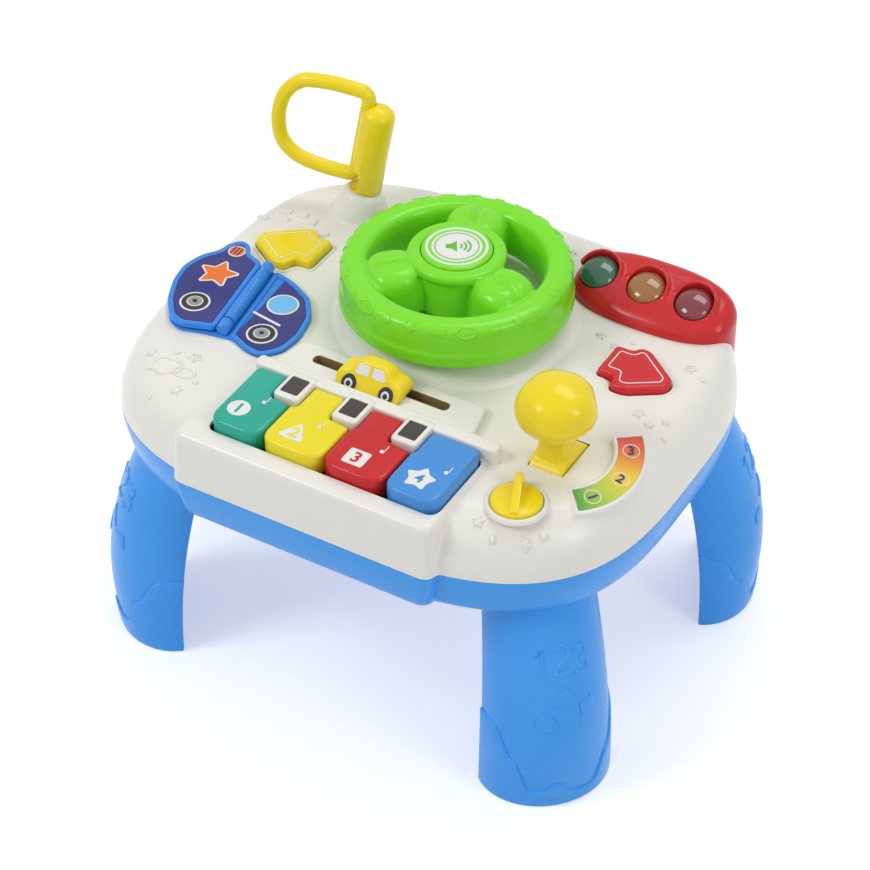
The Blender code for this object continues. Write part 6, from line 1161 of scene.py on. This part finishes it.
# %% Gear scale: a strip from red to green with plain numbers
scale_print = plastic("gear scale print", (.3, .4, .02), 0.30, 0.05, 0.05)
tree = scale_print.node_tree
shader = tree.nodes["Principled BSDF"]
place = wired(tree, "ShaderNodeTexCoord").outputs["Object"]
split = wired(tree, "ShaderNodeSeparateXYZ", [(0, place)])
across = wired(tree, "ShaderNodeMath", [(0, split.outputs[0]), (1, -0.1032)], operation="ADD")
along = wired(tree, "ShaderNodeMath", [(0, split.outputs[1]), (1, 0.0442)], operation="ADD")
angle = wired(tree, "ShaderNodeMath", [(0, along.outputs[0]), (1, across.outputs[0])], operation="ARCTAN2")
share = wired(tree, "ShaderNodeMapRange", [("Value", angle.outputs[0]), ("From Min", -0.85), ("From Max", 0.78)])
ramp = wired(tree, "ShaderNodeValToRGB", [(0, share.outputs[0])])
ramp.color_ramp.elements[0].color = (.030, .330, .030, 1.0)
ramp.color_ramp.elements[1].color = (.620, .010, .008, 1.0)
for spot, colour in ((0.30, (.420, .560, .020, 1.0)), (0.55, (.860, .560, .010, 1.0)), (0.80, (.780, .150, .010, 1.0))):
    ramp.color_ramp.elements.new(spot).color = colour
tree.links.new(ramp.outputs[0], shader.inputs["Base Color"])
tilt = label_tilt()
scale = plate("gear_scale", label_band(.0450, .0315, -47, 42), .1878, .1884, matrix=tilt)
dress(scale, scale_print, "table", "gear_print", "gear_label")
wide, narrow = label_band(.0472, .0293, -50, 45), label_band(.0450, .0315, -47.3, 42.3)
frame_rings = [(wide, .1870), (wide, .1882), (moved_in(wide, .0006), .1887), (moved_in(narrow, -.0004), .1887),
               (narrow, .1882), (narrow, .1870)]
dress(band_loop("gear_scale_frame", frame_rings, 40, tilt), shell_white, "table", "white_shell")
for sign, degrees in (("3", 28), ("2", -3), ("1", -33)):
    spot = (.1032 + .0382 * math.cos(math.radians(degrees)), -.0442 + .0382 * math.sin(math.radians(degrees)), .1886)
    film_ring(f"scale_mark_{sign}", circle(.0046, spot[:2], 32), circle(.0041, spot[:2], 32), .1885, ink_white, "table",
              "gear_print", matrix=tilt)
    numeral(f"scale_number_{sign}", sign, .0078, spot, degrees, ink_navy, "table", "gear_print", tilt)

# %% Switch with its fin
knob_disc = turned("switch_disc", [(0.0, .1901), (.0122, .1901), (.0131, .1898), (.0136, .1890), (.0136, .1873),
                                   (.0037, .1873), (.0037, .1800), (0.0, .1800)], (.1045, -.0895), 96)
rings = []
spin = Matrix.Rotation(math.radians(22), 4, "Z")
for across, shrink in ((-1.0, .12), (-.8, .03), (-.4, 0.0), (.4, 0.0), (.8, .03), (1.0, .12)):
    ring = []
    for along, up in rounded([Vector(p) for p in ((-.0124, 0.0), (.0148, 0.0), (.0148, .0048), (.0129, .0070),
                                                  (.0102, .0065), (-.0124, .0016))], .0010, 4):
        spot = spin @ Vector((across * .0023 * (1 - up * 40 * .3), along * (1 - shrink * .2), 0.0))
        ring.append((.1045 + spot.x, -.0895 + spot.y, .1896 + up * (1 - shrink * .3)))
    rings.append(ring)
switch = joined("switch", [knob_disc, loft("fin", rings, 40)], 40)
dress(switch, bright_yellow, "switch", "yellow_plastic", "switch_knob")
print("lever, arrows and switch made")

# %% [markdown]
# ## The book
# The book is a car that opens: its left half is the page, its right half stays on the table, and a
# barrel in the middle is the spine. Each half is a tray with a raised border round a printed sheet.
# The prints are plain: a star, wheels, a lamp and a round window.

# %% Trays
def tray(name, outline, bottom, top, border=.0032, pocket=.0010, edge=.0009):
    rings = [(outline, bottom), (outline, top - edge)]
    for step in range(1, 5):
        turn = math.pi / 2 * step / 4
        rings.append((moved_in(outline, edge * (1 - math.cos(turn))), top - edge * (1 - math.sin(turn))))
    for inset, height in ((border - .0008, top), (border - .0003, top - .0002), (border, top - .0006),
                          (border, top - pocket)):
        rings.append((moved_in(outline, inset), height))
    return loft(name, [[(point.x, point.y, height) for point in ring] for ring, height in rings], 40)


spine_front, spine_back = Vector((-.0988, -.0531, .1928)), Vector((-.1084, .0090, .1928))
spine_way = (spine_back - spine_front).normalized()
spine_side = Vector((spine_way.y, -spine_way.x))
left_outline = list(reversed([spine_front.to_2d() - spine_side * .0040] + book_spots(BOOK_LEFT)
                             + [spine_back.to_2d() - spine_side * .0040]))
right_outline = list(reversed([spine_back.to_2d() + spine_side * .0040] + book_spots(BOOK_RIGHT)
                              + [spine_front.to_2d() + spine_side * .0040]))
page_tray = tray("book_left", rounded(left_outline, .0042, 5), .1914, .1943)
base_tray = tray("book_right", rounded(right_outline, .0042, 5), .1886, .1910)
under = plate("book_under", rounded(book_whole, .0042, 5), .1885, .1897, .0004)
dress(page_tray, book_blue, "page", "book_blue", "book_page")
dress(base_tray, book_blue, "table", "book_blue", "book_base")
dress(under, book_blue, "table", "book_blue")
length = (spine_back - spine_front).length
lie = Matrix.Translation(spine_front) @ spine_way.to_track_quat("Z", "Y").to_matrix().to_4x4()
knuckles = []
for low, high in ((0.0, .0078), (length - .0078, length)):
    profile = [(0.0, low), (.0030, low), (.0037, low + .0007), (.0037, high - .0007), (.0030, high), (0.0, high)]
    knuckles.append(turned("knuckle", profile, steps=48, matrix=lie))
dress(joined("book_knuckles", knuckles), book_blue, "table", "book_blue")
barrel = []
for step in range(61):
    share = step / 60
    ridge = .00035 if 0.14 < share < 0.86 and (share * 15) % 1 < 0.45 else 0.0
    barrel.append((.0036 + ridge, .0086 + (length - .0172) * share))
barrel = turned("book_barrel", [(0.0, .0083)] + barrel + [(0.0, length - .0083)], steps=64, crease=50, matrix=lie)
dress(barrel, book_blue, "page", "book_blue")

# %% Printed sheets
indigo_print = plastic("indigo print", (.014, .016, .190), 0.30, 0.10, 0.05)
sheet_left = plate("book_sheet_left", inner_edge(rounded(left_outline, .0042, 5), .0033), .1934, .1940)
sheet_right = plate("book_sheet_right", inner_edge(rounded(right_outline, .0042, 5), .0033), .1901, .1907)
dress(sheet_left, indigo_print, "page", "book_print", "book_page_label")
dress(sheet_right, indigo_print, "table", "book_print", "book_base_label")
star = star_outline(-.1282, -.0128, .0112, turn=98, depth=.50, corner=.0010)
film("book_star_edge", moved_in(star, -.0011), .1941, ink_white, "page", "book_print")
film("book_star", star, .1943, ink_orange, "page", "book_print")
lamp_spot = (-.1305, .0098)
film("book_lamp_edge", circle(.0050, lamp_spot, 40), .1941, ink_white, "page", "book_print")
film("book_lamp", circle(.0042, lamp_spot, 40), .1943, ink_orange, "page", "book_print")
for step in (-1, 0, 1):
    middle = lamp_spot[0] + step * .0022
    lamp_bar = box_outline(middle - .0004, middle + .0004, lamp_spot[1] - .0032, lamp_spot[1] + .0032)
    film(f"book_lamp_bar_{step + 1}", lamp_bar, .19445, ink_navy, "page", "book_print")
TYRE_RINGS = ((.0074, ink_black), (.0046, ink_white), (.0039, ink_grey), (.0014, ink_black))
TYRES = (("left", (-.1248, -.0405), .1941, "page"), ("right", (-.0800, -.0425), .1908, "table"))
for name, (x, y), height, body in TYRES:
    film(f"book_arch_{name}", circle(.0086, (x, y), 48), height, ink_white, body, "book_print")
    for part, (size, finish) in enumerate(TYRE_RINGS):
        film(f"book_tyre_{name}_{part}", circle(size, (x, y), 48), height + .0002 * (part + 1), finish, body,
             "book_print")
film("book_window_edge", circle(.0090, (-.0840, -.0150), 48), .1908, ink_white, "table", "book_print")
film("book_window", circle(.0079, (-.0840, -.0150), 48), .1910, ink_sky, "table", "book_print")
film("book_stripe", tile_outline(-.0850, -.0300, .0200, .0016, -9, .0006), .1908, ink_white, "table", "book_print")
print("book made")

# %% [markdown]
# ## Post and loop
# The post is a turned peg with a dome, and a groove holds the straight bar of the loop. The loop is
# one bent rod, so it is a tube swept along a smooth closed curve.

# %% Post
axes = post_axes()
dome = [(.0098 * math.sin(math.radians(a)), .04765 + .00735 * math.cos(math.radians(a))) for a in range(0, 91, 6)]
post_foot = [(.0098, .0016), (.0094, .0012), (.0088, .0012), (.0088, 0.0), (.0048, 0.0), (.0048, -.019), (0.0, -.019)]
post = turned("post", dome + post_foot, steps=120, matrix=axes)
groove = turned("groove", [(.0046, .0012), (.0046, .0600)], (.0070, 0.0), 48, matrix=axes)
notch = plate("notch", box_outline(.0022, .0200, -.0200, .0200), .0012, .0125, matrix=axes)
carved(post, [groove, notch], crease=45)
dress(post, bright_yellow, "post", "yellow_plastic", "loop_post")

# %% Loop
LOOP = ((0.0, .106), (0.0, .35), (0.0, .62), (0.0, .895), (.008, .936), (.034, .973), (.072, .994), (.118, 1.0),
        (.43, .989), (.733, .936), (.837, .879), (.914, .804), (.984, .679), (1.012, .532), (1.004, .376), (.952, .211),
        (.873, .106), (.757, .037), (.602, -.002), (.355, -.013), (.12, 0.0), (.072, .007), (.034, .029), (.008, .066))
path = [axes @ Vector((.0070 + point.x * .0500, 0.0, .0062 + point.y * .0541))
        for point in swept([Vector(spot) for spot in LOOP], 5)]
normal = (axes.to_3x3() @ Vector((0.0, 1.0, 0.0))).normalized()
rings = []
for here, spot in enumerate(path):
    way = (path[(here + 1) % len(path)] - path[here - 1]).normalized()
    side = way.cross(normal).normalized()
    rings.append([spot + (normal * math.cos(a) + side * math.sin(a)) * .0043
                  for a in (2 * math.pi * step / 24 for step in range(24))])
loop = loft("loop", rings + rings[:1], 60, False)
dress(loop, bright_yellow, "loop", "yellow_plastic", "swing_loop")
print("post and loop made")

# %% [markdown]
# ## Hardware inside
# Screws, boards, cells and the hinge pins keep their measured shapes. Each gets a finish for what it
# is made of: brushed steel, green board varnish, rubber, or the printed jacket of a cell.

# %% Finishes for the measured pieces that stay
def metal(name, colour, gloss=0.28):
    finish = plastic(name, colour, gloss, 0.08, 0.25, 0.14)
    finish.node_tree.nodes["Principled BSDF"].inputs["Metallic"].default_value = 1.0
    return finish


steel = metal("turned steel", (.56, .57, .58))
board_green = plastic("board varnish", (.018, .150, .055), 0.35, 0.20, 0.20)
rubber = plastic("contact rubber", (.180, .180, .190), 0.75, 0.12, 0.30)
cell_jacket = plastic("cell jacket", (.075, .080, .090), 0.32, 0.15, 0.08)
dark_inlay = plastic("dark inlay plastic", (.030, .021, .016), 0.30, 0.12, 0.10)
speaker_black = plastic("speaker cone", (.020, .020, .022), 0.60, 0.20, 0.35)
clear_led = lens_finish("lamp resin", (.72, .73, .70))
staying = {"battery_door": base_blue, "battery_door_screw": steel, "speaker": speaker_black,
           "circuit_board": board_green, "key_circuit_board": board_green, "led_board": board_green,
           "key_contact_strip": rubber,
           "key_hinge_rod": steel, "slider_retainer": shell_white, "wheel_washer": steel, "wheel_screw": steel,
           "gear_pivot_pin": steel, "rotary_switch": speaker_black, "book_hinge_pin": steel, "post_retainer": steel}
staying.update({f"battery_{number}": cell_jacket for number in (1, 2, 3)})
staying.update({f"case_screw_{number}": steel for number in range(1, 7)})
staying.update({f"sharp_inlay_{number}": dark_inlay for number in (1, 2, 3)})
staying.update({f"led_{name}": clear_led for name in ("green", "amber", "red")})
for node_name, finish in staying.items():
    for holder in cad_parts[node_name].material_slots:
        holder.material = finish
print("measured pieces kept:", len(staying))

# %% [markdown]
# ## Floor, light and camera
# The table stands on a plain pale floor. The floor and the world look white to the camera and in
# reflections, but give the table no extra light, so its own colours stay as they are written. The
# world gives a soft even light, and three large area lamps shape it: a strong one from the left
# front, a weaker one from the right, and one overhead
# whose reflection draws the rounded edges. White plastic clips easily, so the lamps stay low
# enough that the deck keeps its own colour.

# %% Rays that see the background
def background_rays(tree):
    """1 for rays from the camera, in a reflection or through a clear piece, and 0 for the others."""
    ray = wired(tree, "ShaderNodeLightPath")
    mirrored = wired(tree, "ShaderNodeMath", [(0, ray.outputs["Is Camera Ray"]), (1, ray.outputs["Is Glossy Ray"])],
                     operation="MAXIMUM")
    through = wired(tree, "ShaderNodeMath", [(0, mirrored.outputs[0]), (1, ray.outputs["Is Transmission Ray"])],
                    operation="MAXIMUM")
    return through.outputs[0]


# %% Floor
FLOOR_GLOW = 0.42
floor_paint = bpy.data.materials.new("studio floor")
floor_paint.use_nodes = True
tree = floor_paint.node_tree
shader = tree.nodes["Principled BSDF"]
paper = wired(tree, "ShaderNodeTexNoise", [("Scale", 6.0), ("Detail", 2.0)])
tint = wired(tree, "ShaderNodeMix", [(0, paper.outputs["Fac"]), (6, (0.800, 0.800, 0.800, 1.0)),
                                     (7, (0.830, 0.830, 0.830, 1.0))], data_type="RGBA")
tree.links.new(tint.outputs[2], shader.inputs["Base Color"])
shader.inputs["Roughness"].default_value = 0.85
lift = wired(tree, "ShaderNodeMath", [(0, background_rays(tree)), (1, FLOOR_GLOW)], operation="MULTIPLY")
shader.inputs["Emission Color"].default_value = (1.0, 1.0, 1.0, 1.0)
tree.links.new(lift.outputs[0], shader.inputs["Emission Strength"])
floor = plate("studio_floor", box_outline(-6.0, 6.0, -6.0, 6.0), -0.02, -0.00002)
floor.data.materials.append(floor_paint)
floor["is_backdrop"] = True

# %% World and lamps
world = bpy.data.worlds.new("studio")
bpy.context.scene.world = world
world.use_nodes = True
tree = world.node_tree
sky = tree.nodes["Background"]
seen = wired(tree, "ShaderNodeMix", [(0, background_rays(tree)), (6, (0.50, 0.50, 0.51, 1.0)),
                                     (7, (1.0, 1.0, 1.0, 1.0))], data_type="RGBA")
tree.links.new(seen.outputs[2], sky.inputs["Color"])
sky.inputs["Strength"].default_value = 1.0


def lamp(name, spot, aim, size, power, tint=(1.0, 1.0, 1.0)):
    light = bpy.data.lights.new(name, "AREA")
    light.shape = "RECTANGLE"
    light.size, light.size_y = size
    light.energy = power
    light.color = tint
    holder = bpy.data.objects.new(name, light)
    bpy.context.scene.collection.objects.link(holder)
    holder.location = spot
    holder.rotation_euler = (Vector(aim) - Vector(spot)).to_track_quat("-Z", "Y").to_euler()
    return holder


lamp("key_lamp", (-0.95, -1.10, 1.55), (0.0, 0.0, 0.15), (0.7, 0.7), 13.0)
lamp("side_lamp", (1.55, -0.35, 1.05), (0.0, 0.0, 0.15), (0.5, 0.8), 6.0)
lamp("top_lamp", (0.10, 0.75, 1.75), (0.0, 0.0, 0.15), (1.1, 0.6), 8.0)

# %% Camera at the photograph's angle
camera_data = bpy.data.cameras.new("camera")
camera_data.lens = 115.862
camera_data.sensor_width = 36.0
camera_data.clip_start = 0.05
camera_data.dof.use_dof = False
camera = bpy.data.objects.new("camera", camera_data)
bpy.context.scene.collection.objects.link(camera)
right, up = Vector((0.86252038, 0.50602233, 0.0)), Vector((-0.3264819, 0.55649183, 0.7640199))
back = Vector((0.38661113, -0.65898273, 0.64519268))
camera.matrix_world = Matrix.Translation((0.606669, -1.027013, 1.129420)) @ \
    Matrix((right, up, back)).transposed().to_4x4()
bpy.context.scene.camera = camera
bpy.context.scene.view_settings.view_transform = "Standard"

# %% Check the size
dressed_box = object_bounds()
for axis, (was_low, was_high, low, high) in enumerate(zip(*measured_box, *dressed_box)):
    print("axis", "xyz"[axis], "low", round((low - was_low) * 1000, 2), "high", round((high - was_high) * 1000, 2),
          "mm")
